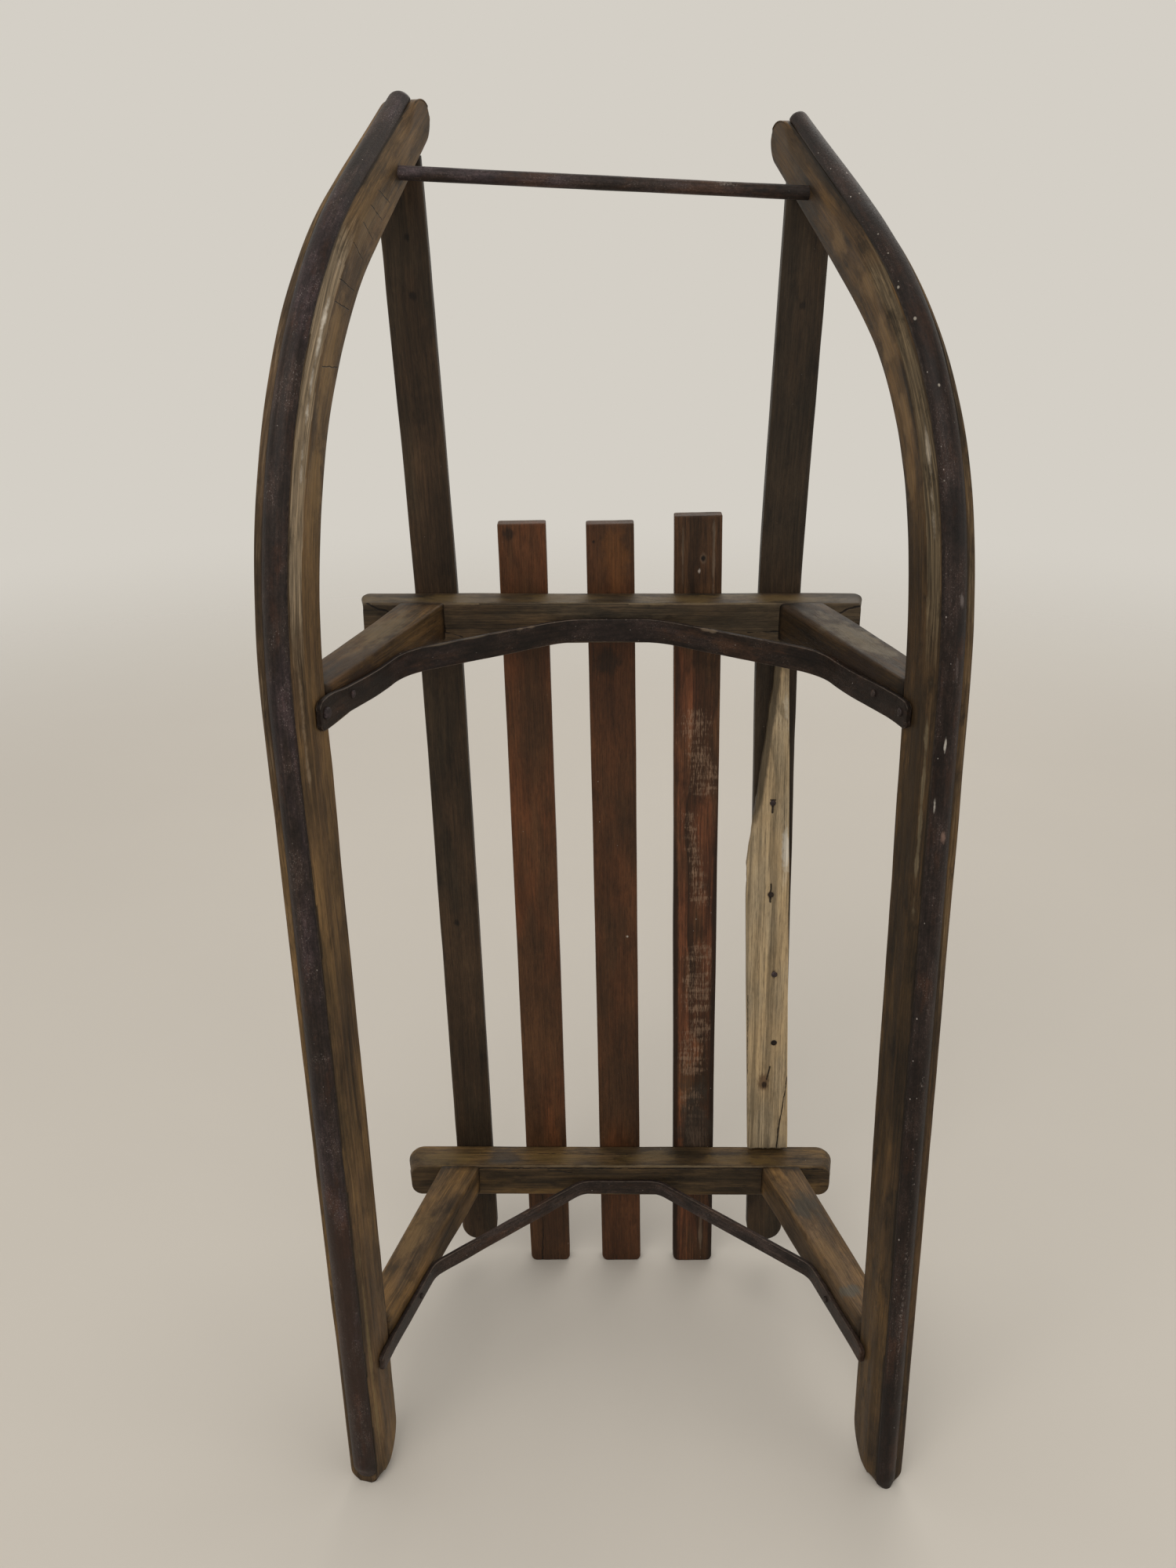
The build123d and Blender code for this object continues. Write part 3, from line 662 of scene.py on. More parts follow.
def slat(name, x0, length, material, seed):
    s = np.concatenate([[0.0, 0.25, 0.8, 1.5, 2.4, 3.4, 4.5], np.arange(7.0, length - 2, 3.0),
                        length - np.array([0.9, 0.45, 0.12, 0.0])])
    gone = length - s
    inset = 0.8 - np.sqrt(np.maximum(0.64 - np.maximum(0.8 - np.minimum(s, gone), 0) ** 2, 0))
    corner = 4.5 - np.sqrt(4.5 ** 2 - np.maximum(4.5 - s, 0) ** 2)
    ab = rectangle(SLAT_HALF - 0.35 * wave(s, 70, seed) - 0.85 * corner, THICK / 2, inset)
    back = np.minimum(worn(s, 4, 0.9, 2.8, seed), 4.5 - inset[:, None])
    rows, edge = section(under_seat(ab, x0, s), back, (14, 5, 14, 5))

    def dark(a, b, s):
        # darker where the benches cross the slat, partly grime and partly painted shade; also
        # darker near the tail, and along the sides of the left slat
        sides = step(9.5, 13, np.abs(a)) * (1 - 0.7 * step(300, 420, s)) * (x0 > 20)
        return np.maximum(benches(b, s) + 0.5 * (1 - step(0, 25, s)), 1.1 * sides)
    loft(f"seat_{name}", rows, edge, material, name, relief=0.25, seed=seed,
         dark=dark, foot=x0)


def rail(side, mirror, material, seed):
    tail, bend, horn, high = RAILS[side]
    low, half = RAIL_TAIL, RAIL_HALF
    angles = np.linspace(radians(4), pi / 2, 12)
    s = np.concatenate([low + half * (1 - np.cos(angles)), np.arange(low + half + 3, high, 3.0),
                        [high]])
    width = np.sqrt(half ** 2 - np.maximum(low + half - s, 0) ** 2)
    # the rail is bent softly round the front bench
    centre = np.mean([np.interp(
        s + d, [low - 100, low, BENCHES["front"], high, high + 100],
        [tail + (tail - bend) * 0.2, tail, bend, horn, horn + (horn - bend) * 0.4])
        for d in np.arange(-60.0, 61.0, 10.0)], axis=0)
    inset = 1.6 * (1 - step(low - 2, low + 4, s)) * 0.8
    ab = rectangle(width - 0.3 * wave(s, 80, seed), THICK / 2 - inset)
    back = np.minimum(worn(s, 4, 1.0, 3.4, seed), (width * 0.5)[:, None])
    rows, edge = section(under_seat(ab, centre[:, None, None], s), back, (13, 5, 13, 5))

    def dark(a, b, s):
        # darker where the benches cross the rail and towards its front end, partly grime and partly
        # painted shade
        return np.maximum(benches(b, s), 0.8 * step(high - 22, high, s))
    loft(f"rail_{side}", rows, edge, material, f"side_rail_{side}", mirror,
         relief=0.3, seed=seed, dark=dark, foot=tail)


def bench(name, plan_round, material, seed):
    z0, half, top = BENCHES[name], BENCH_HALF, UNDERSIDE - CLEAR
    ends = half - np.array([0.0, 0.3, 0.9, 1.9, 3.2, 5.0, 7.5, 11, 16, 22, 30])
    s = np.concatenate([-ends, np.arange(-120.0, 120.1, 3.0), ends[::-1]])
    gone = half - np.abs(s)
    r = plan_round
    depth = np.where(gone < r, 13 - r + np.sqrt(np.maximum(r * r - (r - gone) ** 2, 0)), 13.0)
    depth = depth - 0.3 * wave(s, 60, seed)
    y = np.array([-BENCH_HIGH, -BENCH_HIGH, 0.0, 0.0])
    zz = np.array([-1.0, 1.0, 1.0, -1.0])
    back = np.minimum(worn(s, 4, 1.0, 2.6, seed), 4.0)
    corners = np.stack([s[:, None] + zz * 0, top + y + s[:, None] * 0, z0 + zz * depth[:, None],
                        zz * depth[:, None], y + 12 + s[:, None] * 0, s[:, None] + zz * 0], axis=2)
    rows, edge = section(corners, back, (12, 11, 12, 11))
    # the end face leans and is rounded towards the seat
    down = top - rows[..., 1]
    short = 5.0 * down / BENCH_HIGH
    r = np.maximum(8 - down, 0)
    short = short + 8 - np.sqrt(64 - r * r)
    reach = 1 - step(2, 34, gone)[:, None]
    rows[..., 0] -= np.sign(rows[..., 0]) * short * reach

    def dark(a, b, s):
        # darker where the legs and the slats meet the bench, partly grime and partly painted shade
        legs = near(np.abs(s), LEG_X, 18) * step(4, 11, -b)
        slats = sum(near(np.abs(s), x, 17) for x in (0.0, SLAT_PITCH, 107.0)) * step(6, 11, b)
        return np.maximum(0.6 * legs, 0.5 * slats)
    loft(f"bench_wood_{name}", rows, edge, material, f"bench_{name}", relief=0.3,
         seed=seed, dark=dark, level=z0)


def in_sled(across, up):
    return np.array([SOLE[0] + across * C - up * S, SOLE[1] + across * S + up * C])


# inner and outer corner of a leg under its bench, and on its runner
LEG_TOP_Y = UNDERSIDE - BENCH_HIGH - 2 * CLEAR
TOP_IN, TOP_OUT = (np.array([LEG_X + half / C, LEG_TOP_Y])
                   for half in (-LEG_TOP_HALF, LEG_TOP_HALF))
LEG_UP = WOOD_HIGH + CLEAR
LEG_IN, LEG_OUT = in_sled(-WOOD_HALF, LEG_UP), in_sled(WOOD_HALF, LEG_UP)


def leg(name, side, mirror, material, seed):
    z, lift = BENCHES[name] + 1.0, 3.2 if (name, side) == ("front", "left") else 0.0
    length = float(np.linalg.norm(LEG_IN - TOP_IN))
    s = np.linspace(0, length, 56)
    corners = []
    for top, foot, a, b in ((TOP_IN, LEG_IN, -LEG_HALF, -LEG_HALF),
                            (TOP_IN, LEG_IN, -LEG_HALF, LEG_HALF),
                            (TOP_OUT, LEG_OUT, LEG_HALF, LEG_HALF),
                            (TOP_OUT, LEG_OUT, LEG_HALF, -LEG_HALF)):
        x, y = (top + (foot - top) * (s / length)[:, None]).T
        corners.append(np.stack([x, y, z + b + lift * s / length, s * 0 + a, s * 0 + b, s],
                                axis=1))
    corners = np.stack(corners, axis=1)
    rows, edge = section(corners, worn(s, 4, 1.6, 4.6, seed), (10, 10, 10, 10))

    def dark(a, b, s):
        # darker at both ends, where the leg meets the bench and the runner, partly grime and partly
        # painted shade
        return 0.75 * np.maximum(1 - step(0, 12, s), step(length - 14, length, s))
    loft(f"leg_wood_{name}_{side}", rows, edge, material, f"leg_{name}_{side}",
         mirror, relief=0.3, seed=seed, dark=dark, level=BENCHES[name])


def splint(material, seed):
    low, mid, tip = 113.4, 340.0, 494.1
    s = np.concatenate([[low, low + 0.4, low + 1.0], np.arange(low + 3, tip, 1.6), [tip]])
    outer = 122.4 - 0.028 * (s - low) - 0.5 * wave(s, 30, seed)
    split_x, middle_x = (86.75, 103.45), 104.0
    inner = np.interp(s, [low, mid, tip], [92.8, *split_x])
    # the split side runs along the grain and jumps from one fibre to the next
    torn = step(mid - 30, mid, s)
    inner = inner + torn * (0.9 * wave(s, 11, seed + 1) + 0.9 * wave(s, 4.3, seed + 2))
    inner = inner + 0.5 * wave(s, 40, seed + 3)
    thin = SPLINT_THICK - 2.6 * step(400, tip, s)
    inset = np.where(s < low + 1.2, 0.5 * (low + 1.2 - s) / 1.2, 0)
    face = UNDERSIDE - CLEAR
    x = np.stack([inner, outer, outer, inner], axis=1)
    y = face - np.stack([thin - inset, thin - inset, inset, inset], axis=1)
    z = np.broadcast_to(s[:, None], x.shape)
    corners = np.stack([x, y, z, x - middle_x, y - face + SPLINT_THICK / 2, z], axis=2)
    back = np.minimum(worn(s, 4, 0.4, 1.4, seed + 4), ((outer - inner) * 0.3)[:, None])
    rows, edge = section(corners, back, (13, 4, 13, 4), cuts=3)
    # the sawn end is torn
    torn = 2.2 * wave(rows[..., 0], 1.9, seed + 6) - 4.6
    rows[..., 2] += (1 - step(low, low + 7, rows[..., 2])) * torn

    def pale(a, b, s):
        return 0.45 * near(a, 9.0, 6) * near(s, 335, 45) + 0.3 * near(s, 440, 25)

    def dark(a, b, s):
        split = np.interp(s, [mid, tip], split_x) - middle_x
        split = (1 - step(split + 0.5, split + 9, a)) * step(mid + 10, mid + 60, s)
        return np.maximum(0.5 * near(s, 112, 8), 1.5 * split)
    loft("splint_batten", rows, edge, material, "splint", relief=0.25, seed=seed,
         pale=pale, dark=dark, foot=RAILS["left"][0])


def bent_path(points, radii, pitch):
    """Points of a line with rounded corners: place, direction and length so far."""
    points = [np.array(p, float) for p in points]
    out = [points[0]]
    for before, here, after, radius in zip(points, points[1:], points[2:], radii):
        u, v = before - here, after - here
        u, v = u / np.linalg.norm(u), v / np.linalg.norm(v)
        half = np.arccos(np.clip(np.dot(u, v), -1, 1)) / 2
        back = min(radius / np.tan(half), 40.0)
        a, b = here + u * back, here + v * back
        n = max(3, int((pi - 2 * half) * radius / 2.0))
        for i in range(n + 1):
            f = i / n
            out.append((1 - f) ** 2 * a + 2 * f * (1 - f) * here + f * f * b)
    out.append(points[-1])
    path = [out[0]]
    for p, q in zip(out, out[1:]):
        n = max(1, int(np.linalg.norm(q - p) / pitch))
        path += [p + (q - p) * (i + 1) / n for i in range(n)]
    path = np.array(path)
    path = path[np.insert(np.linalg.norm(np.diff(path, axis=0), axis=1) > 0.05, 0, True)]
    tangent = np.gradient(path, axis=0)
    tangent /= np.linalg.norm(tangent, axis=1, keepdims=True)
    length = np.insert(np.cumsum(np.linalg.norm(np.diff(path, axis=0), axis=1)), 0, 0)
    return path, tangent, length


def strap(name, bend, radius, width, dz, ends, lift, swell, material, seed):
    slope = (LEG_IN[0] - TOP_IN[0]) / (LEG_TOP_Y - LEG_IN[1])
    bend_y = UNDERSIDE - bend
    # middle of the iron: at the end of its flat part, where it bends onto the leg, at its foot
    half = [(27.5, UNDERSIDE - BENCH_HIGH - 1.7),
            (TOP_IN[0] + (LEG_TOP_Y - bend_y) * slope - 1.68, bend_y),
            (LEG_IN[0] - STRAP_OFF, LEG_IN[1])]
    right, left = (tuple(in_sled(-WOOD_HALF - STRAP_OFF, up)) for up in ends)
    points = [(-x, y) for x, y in reversed(half + [right])] + half + [left]
    path, tangent, length = bent_path(points, (16.0, *[radius] * 4, 16.0), 2.5)
    side = np.stack([tangent[:, 1], -tangent[:, 0]], axis=1)
    s = length
    half_w = width / 2 - 0.35 * wave(s, 22, seed) - 0.2 * wave(s, 7, seed + 1)
    ends = np.minimum(s, s[-1] - s)
    half_w = (half_w + swell * near(s, 12, 22)) * (0.72 + 0.28 * step(0, 3.0, ends))
    ab = rectangle(half_w, STRAP_HALF)
    z0 = (BENCHES[name] + dz + lift * (1 - step(5, 85, ends)))[:, None, None]
    xy = path[:, None] + side[:, None] * ab[..., 1:]
    ss = np.broadcast_to(s[:, None, None], ab[..., :1].shape)
    rows = np.concatenate([xy, z0 + ab[..., :1], ab, ss], axis=2)
    rows, edge = section(rows, worn(s, 4, 0.5, 1.1, seed), (5, 2, 5, 2), cuts=3)

    def pale(a, b, s):
        bends = near(np.abs(s - length[-1] / 2), 90, 26)
        return 0.5 * bends * bumps(s / 6, a / 4, seed + 4) ** 2
    loft(f"strap_iron_{name}", rows, edge, material, f"strap_{name}", relief=0.22,
         seed=seed, pale=pale, level=BENCHES[name])


def turned_piece(profile, count, uneven, seed):
    """Vertices and faces of a closed round form about Z from (radius, height) rows."""
    rng = np.random.default_rng(seed)
    angles = np.linspace(0, 2 * pi, count, endpoint=False)
    off = 1 - uneven * bumps(angles / 1.05, angles * 0 + 0.5, seed)
    off = off * (1 - 0.5 * uneven * rng.random(count))
    verts, faces = [], []
    for r, h in profile:
        for a, k in zip(angles, off):
            verts.append((r * k * cos(a), r * k * sin(a), h))
    for i in range(len(profile) - 1):
        for j in range(count):
            k = (j + 1) % count
            faces.append((i * count + j, i * count + k, (i + 1) * count + k, (i + 1) * count + j))
    for ring, h, flip in ((0, profile[0][1], True), (len(profile) - 1, profile[-1][1], False)):
        verts.append((0, 0, h))
        for j in range(count):
            tri = (ring * count + j, ring * count + (j + 1) % count, len(verts) - 1)
            faces.append(tri[::-1] if flip else tri)
    return np.array(verts), faces


def aimed(verts, place, axis):
    """Turns +Z to the axis and moves to the place."""
    z = np.array(axis, float) / np.linalg.norm(axis)
    x = np.cross((0, 1, 0) if abs(z[1]) < 0.9 else (1, 0, 0), z)
    x /= np.linalg.norm(x)
    return verts @ np.array([x, np.cross(z, x), z]) + np.array(place)


def scatter(name, rows, material):
    """Nail and screw heads as one piece: rows of place, direction out, radius, height."""
    verts, faces, grains = [], [], []
    for n, (place, axis, radius, height) in enumerate(rows):
        profile = [(radius * 0.5, -1.6), (radius * 0.93, -0.5), (radius, 0.15 * height),
                   (radius * 0.95, 0.62 * height), (radius * 0.72, 0.95 * height),
                   (radius * 0.4, height)]
        v, f = turned_piece(profile, 22, 0.16, 50 + n)
        grains.append(v + np.array([n * 17.0, n * 9.0, 0]))
        base = sum(len(x) for x in verts)
        verts.append(aimed(v, place, axis))
        faces += [tuple(i + base for i in g) for g in f]
    verts, grains = np.concatenate(verts), np.concatenate(grains)
    zero = np.zeros(len(verts))
    make(name, verts, faces, {"grain": grains, "edge": zero, "pale": zero, "dark": zero},
         material)


# the rod's axis and the two washers, as they are in the frame
ROD_RIGHT, ROD_LEFT = np.array([-130.329, 57.886, 766.129]), np.array([107.060, 59.649, 754.981])
ROD_WAY = (ROD_LEFT - ROD_RIGHT) / np.linalg.norm(ROD_LEFT - ROD_RIGHT)


def outer_face(side):
    """A point on the horn's outer face, and the way it faces."""
    line, sign = SOLES[side], -1 if side == "right" else 1
    ends = []
    for out in (0.0, 1.0):
        a = np.arctan(line.slope)
        along = -line.narrows + out * sin(a)
        y, z = line.end[0] + along * sin(line.heading), line.end[1] + along * cos(line.heading)
        n = WOOD_HALF + out * cos(a)
        x, y = SOLE[0] + n * C - y * S, SOLE[1] + n * S + y * C
        ends.append(settle(np.array([[sign * x, y, z]]), sign * SOLE[0], None)[0])
    return ends[0], ends[1] - ends[0]


def on_rod(side, clear):
    """Point of the rod's axis this far outside the horn's outer face."""
    foot, facing = outer_face(side)
    return ROD_RIGHT + ROD_WAY * (np.dot(foot + facing * clear - ROD_RIGHT, facing)
                                  / np.dot(ROD_WAY, facing))


def tow_rod(material, seed):
    reach = []
    for side, sign in (("right", -1), ("left", 1)):
        facing = outer_face(side)[1]
        f = abs(np.dot(facing, ROD_WAY))
        head = on_rod(side, 2.1) + sign * ROD_WAY * (5.5 * np.sqrt(1 - f * f) / f + 0.1 + 3.45)
        reach.append(np.dot(head - ROD_RIGHT, ROD_WAY))
    low, high = reach
    ends = np.array([0.0, 0.25, 0.8, 1.8, 2.8, 3.3, 3.6, 5.0])
    s = np.concatenate([low + ends, np.arange(low + 8, high - 7, 4.0), (high - ends)[::-1]])
    away, neck = np.minimum(s - low, high - s), 4.3
    head = np.interp(away, ends, [3.9, 4.8, 5.3, 5.45, 5.2, 4.5, 4.0, 3.95])
    radius = head - np.where(away > neck, 0.12 * wave(s, 9, seed) + 0.1 * wave(s, 31, seed), 0)
    angle = np.linspace(0, 2 * pi, 24, endpoint=False)
    ca, sa = np.cos(angle), np.sin(angle)
    lump = np.where(away[:, None] < neck, 1 - 0.07 * bumps(
        angle[None] / 1.05 + 9 * (s[:, None] > 0), s[:, None] * 0 + 0.5, seed + 3), 1)
    up = np.cross(ROD_WAY, (0.0, 1.0, 0.0))
    out = np.cross(up, ROD_WAY)
    place = (ROD_RIGHT + s[:, None, None] * ROD_WAY
             + (radius[:, None] * lump * ca)[..., None] * out
             + (radius[:, None] * lump * sa)[..., None] * up)
    grain = np.stack([radius[:, None] * ca, radius[:, None] * sa, s[:, None] + 0 * ca], axis=2)
    rows = np.concatenate([place, grain], axis=2)
    loft("tow_rod_iron", rows, sa * 0 + 0.3, material, "tow_rod", relief=0.12,
         seed=seed, pale=lambda a, b, s: 0.6 * near(s, 185, 14) * (b > 1))


def washer(side, material, seed):
    facing = outer_face(side)[1]
    centre = on_rod(side, 0.1)
    angle = np.linspace(0, 2 * pi, 36, endpoint=False)
    rough = 1 - 0.05 * bumps(angle / 1.05, angle * 0 + 0.5, seed)
    profile = ((4.8, 0.0), (6.6, 0.0), (6.95, 0.35), (6.95, 1.5), (6.5, 1.95), (5.2, 2.0),
               (4.8, 1.7))
    verts = np.array([(r * (k if r > 6 else 1) * cos(a), r * (k if r > 6 else 1) * sin(a), h)
                      for r, h in profile for a, k in zip(angle, rough)])
    count, n = len(angle), len(profile)
    faces = [(i * count + j, i * count + (j + 1) % count, ((i + 1) % n) * count + (j + 1) % count,
              ((i + 1) % n) * count + j) for i in range(n) for j in range(count)]
    zero = np.zeros(len(verts))
    values = {"grain": verts, "edge": zero + 0.4, "pale": zero, "dark": zero}
    make(f"washer_{side}", aimed(verts, centre, facing), faces, values, material,
         f"rod_washer_{side}")


# where the spots and marks lie: the runner's inner face, and the faces seen of slats and rails
# (SLAT), of the benches and of the splint
INNER, SLAT, BENCH, SPLINT = -11.0, -5.5, -11.7, -3.5
GOLD, NAIL_RUST, PALE_DOT = (110, 85, 52), (22, 16, 12), (156, 148, 136)
# piece: spots, as Tree.spots reads them: across, up and along the piece, in mm
SPOTS = {
    "runner_right": (
        ((4, 10, 34), (108, 86, 56), 0.6, (INNER, -1, 800)),
        ((4, 8, 42), (120, 94, 58), 0.75, (INNER, 2, 715)),
        ((4, 8, 40), (118, 92, 56), 0.75, (INNER, 5, 640)),
        ((4, 7, 7), (30, 22, 15), 0.8, (INNER, 2, 855)),
        # these three thin lines along the arris of the inner face and the bevel are painted
        # highlights
        ((1.3, 2.0, 80), (206, 196, 180), 0.8, (-10.2, -9.6, 690)),
        ((1.3, 2.0, 60), (140, 120, 96), 0.6, (-9.8, -10.5, 520)),
        ((1.2, 2, 110), (108, 92, 60), 0.6, (-9.6, -11, 110)),
        ((14, 26, 5), (48, 36, 24), 0.8, (0, 0, 0))),
    "runner_left": (
        ((4, 7, 16), GOLD, 0.7, (INNER, 1, 808)),
        ((4, 8, 20), GOLD, 0.75, (INNER, -1, 765)),
        ((4, 8, 20), GOLD, 0.8, (INNER, 2, 722)),
        ((4, 7, 18), GOLD, 0.75, (INNER, 4, 676)),
        ((4, 6, 18), GOLD, 0.6, (INNER, 7, 640)),
        ((5, 17, 34), (66, 51, 33), 0.6, (INNER, -6, 900)),
        ((4, 12, 16), (46, 35, 25), 0.6, (INNER, 0, 850)),
        # a thin line along the arris of the inner face: painted highlight
        ((1.2, 2.0, 60), (160, 148, 130), 0.7, (-9.4, -11.5, 640)),
        ((7, 20, 90), (44, 34, 22), 0.7, (INNER, -2, 470)),
        # a thin line along the arris of the inner face: painted highlight
        ((1.2, 2.0, 70), (118, 104, 80), 0.6, (-9.4, -11, 470))),
    "shoe_right": (((11, 6, 150), (54, 38, 30), 0.6, (0, 3, 130)),),
    "shoe_left": (
        ((0.7, 1.2, 0.9), PALE_DOT, 0.8, (-0.7, 0.4, 816.7), (-4.4, 1.7, 779.6),
         (-4.6, 1.8, 764.0), (-6.9, 3.3, 741.1), (-5.2, 1.8, 719.1), (-2.3, 0.6, 681.3),
         (-6.2, 2.5, 635.8)),
        ((3.0, 2.0, 5.0), (120, 96, 84), 0.8, (0.4, 0.4, 456.2)),
        ((0.7, 1.4, 4.0), (176, 170, 160), 0.85, (-3.0, 0.8, 506)),
        ((0.7, 1.6, 5.0), (176, 170, 160), 0.85, (-6.0, 2.0, 472)),
        ((2.2, 1.6, 5.0), (112, 102, 98), 0.6, (2.0, 0.8, 579)),
        ((1.8, 1.6, 9.0), (92, 80, 76), 0.5, (0.5, 0.6, 545))),
    "slat_right": (
        ((5, 3, 5), (34, 25, 18), 0.8, (-7.3, SLAT, 563)),
        ((16, 3, 60), (50, 35, 25), 0.5, (2, SLAT, 30))),
    "slat_middle": (
        ((12, 3, 24), (106, 66, 32), 0.5, (2, SLAT, 548)),
        ((1.6, 2, 1.8), (24, 17, 12), 0.9, (-10.2, SLAT, 557.6)),
        ((11, 3, 13), (38, 27, 19), 0.75, (-2.8, SLAT, 480)),
        ((1.2, 2, 1.2), (170, 160, 146), 0.8, (7.5, SLAT, 282))),
    "slat_left": (
        ((17, 3, 55), (52, 45, 38), 0.75, (0, SLAT, 120)),
        ((3.6, 3, 4.2), (92, 74, 58), 0.8, (3.1, SLAT, 547)),
        ((2.0, 3, 2.4), (16, 11, 8), 0.95, (3.1, SLAT, 547)),
        ((1.4, 3, 2.6), (172, 160, 148), 0.85, (0.7, SLAT, 539)),
        ((1.2, 3, 26), (112, 96, 80), 0.5, (9.5, SLAT, 546)),
        ((0.9, 3, 20), (104, 88, 72), 0.45, (-9.5, SLAT, 550)),
        ((1.4, 3, 30), (110, 96, 80), 0.5, (6, SLAT, 30))),
    "rail_right": (((2.6, 2, 3.2), NAIL_RUST, 0.85, (-1.9, SLAT, 731.9), (-2.4, SLAT, 700.8),
                    (1.5, SLAT, 292.6)),),
    "rail_left": (((2.6, 2, 3.2), NAIL_RUST, 0.8, (0.2, SLAT, 694.8), (3.0, SLAT, 480.0)),),
    "bench_front": (
        ((3.0, 12, 38), (98, 80, 50), 0.75, *((13, -2, x) for x in (-150, -96, -30, 40, 105))),
        # a thin light line along the arris: partly a worn edge, partly a painted highlight
        ((0.7, 1.4, 150), (116, 100, 74), 0.5, (12.4, -11.4, 0))),
    "bench_rear": (
        # a thin light line along the arris: partly a worn edge, partly a painted highlight
        ((0.6, 1.4, 140), (118, 102, 76), 0.6, (12.6, -11.4, 20)),
        ((4, 10, 30), (104, 84, 48), 0.55, (13, -3, -125)),
        ((4, 8, 34), (100, 80, 45), 0.6, (13, -2, -40)),
        ((4, 8, 26), (98, 78, 44), 0.6, (13, 0, 20)),
        ((4, 8, 34), (104, 82, 46), 0.6, (13, -4, 90)),
        ((4, 12, 18), (44, 40, 38), 0.6, (13, 2, -84))),
    "leg_rear_right": (
        ((9, 4, 38), (120, 94, 58), 0.6, (4, 12, 76)),
        ((6, 5, 18), (50, 39, 28), 0.6, (-10, 10, 45)),
        ((6, 4, 10), (46, 38, 28), 0.6, (6, 12, 112))),
    "leg_rear_left": (
        ((14, 5, 20), (62, 56, 46), 0.85, (-0.2, 12, 46)),
        ((9, 5, 28), (114, 88, 54), 0.6, (-5, 12, 98)),
        ((12, 6, 7), (84, 80, 70), 0.8, (-4.6, 12, 131))),
    "leg_front_right": (
        ((11, 5, 46), (106, 88, 58), 0.6, (0, 12, 60)),
        ((4, 14, 34), (44, 31, 23), 0.8, (-12, 0, 112))),
    "leg_front_left": (
        ((11, 5, 56), (98, 86, 64), 0.7, (0, 12, 76)),
        ((4, 14, 50), (38, 28, 22), 0.8, (-12, 0, 100))),
    "splint": (
        ((2.6, 2, 3.6), (44, 31, 21), 0.85, (-0.2, SPLINT, 385.8), (0.2, SPLINT, 318.4),
         (4.5, SPLINT, 256.4), (5.7, SPLINT, 201.0)),
        ((6.0, 2, 10.0), (88, 66, 46), 0.85, (-0.6, SPLINT, 168)),
        ((2.4, 2, 4.0), (34, 24, 17), 0.9, (0.0, SPLINT, 166)),
        ((4, 3, 20), (196, 190, 178), 0.7, (9.7, SPLINT, 352)),
        ((4, 3, 16), (190, 180, 162), 0.6, (6.5, SPLINT, 452)),
        ((5, 3, 22), (112, 98, 76), 0.5, (-8, SPLINT, 150))),
    "strap_front": (
        ((1.7, 2, 3.6), (116, 100, 82), 0.6, *((7.0, 1.4, s) for s in (183, 190, 304, 309))),
        ((1.0, 2, 9), (100, 88, 72), 0.5, *((7.3, 1.4, s) for s in (130, 152, 170)))),
}
# piece: cracks and scratches, as Tree.marks reads them
DARK_MARKS = {
    "runner_right": [(0.13, 0.3, (INNER, b, s), (INNER, b + 15, s + d)) for b, s, d in (
        (-9, 824, 11), (-8, 811, 9), (-7, 797, 5), (-8, 779, 3), (-6, 752, 7), (-5, 738, 8),
        (-3, 700, 9))],
    "slat_right": ((0.12, 0.35, (-4.4, SLAT, 62), (-4.8, SLAT, 30)),
                   (0.22, 0.4, (-4.8, SLAT, 30), (-6.3, SLAT, 0))),
    "bench_front": (
        (0.5, 0.4, (12.4, -11.2, -153), (9.5, -11.9, -147), (6.8, -11.9, -136)),
        (0.25, 0.3, (-5.4, BENCH, -101.5), (-8.4, BENCH, -91.1)),
        (0.2, 0.3, (-1.0, BENCH, -101.8), (-5.4, BENCH, -101.5)),
        (0.4, 0.3, (6.9, BENCH, 133), (5.6, BENCH, 140)),
        (0.45, 0.3, (5.6, BENCH, 140), (9.4, BENCH, 148)),
        (0.5, 0.3, (9.4, BENCH, 148), (10.8, BENCH, 155)),
        (0.3, 0.3, (-5.6, BENCH, 83), (-5.0, BENCH, 103)),
        (0.12, 0.4, (12.2, -11.4, -80), (12.0, -11.5, 10))),
    "bench_rear": ((0.3, 0.4, (10.9, BENCH, -104), (10.7, BENCH, 150)),
                   (0.25, 0.3, (9, BENCH, -52), (7, BENCH, -35)),
                   (0.12, 0.35, (13, 3, -60), (13, 2, 5))),
    "leg_rear_right": ((0.2, 0.35, (-12, 9.7, 14), (-12, 1.3, 73)),
                       (0.14, 0.3, (-12, 1.3, 73), (-12, -1.0, 96))),
    "splint": (
        (0.3, 0.6, (-0.2, SPLINT, 386), (-0.3, SPLINT, 379)),
        (0.25, 0.4, (-1.6, SPLINT, 388), (1.4, SPLINT, 388)),
        (0.35, 0.6, (0.3, SPLINT, 326), (0.0, SPLINT, 313)),
        (0.2, 0.3, (16.2, SPLINT, 173), (13.6, SPLINT, 148)),
        (0.3, 0.3, (13.6, SPLINT, 148), (11.2, SPLINT, 128)),
        (0.4, 0.3, (11.2, SPLINT, 128), (10.4, SPLINT, 114)),
        (0.2, 0.5, (1.5, SPLINT, 170), (3.5, SPLINT, 181)),
        (0.1, 0.3, (-13.5, SPLINT, 240), (-12.0, SPLINT, 140))),
}
RUBBED = ((3.0, 16.0, (-2, SLAT, 440), (6, SLAT, 395)),
          (5.0, 14.0, (4, SLAT, 268), (1, SLAT, 228)),
          (4.0, 14.0, (3, SLAT, 208), (-3, SLAT, 178)),
          (0.5, 11.0, (-4, SLAT, 372), (4, SLAT, 310)),
          (2.0, 14.0, (-2, SLAT, 150), (3, SLAT, 100)))
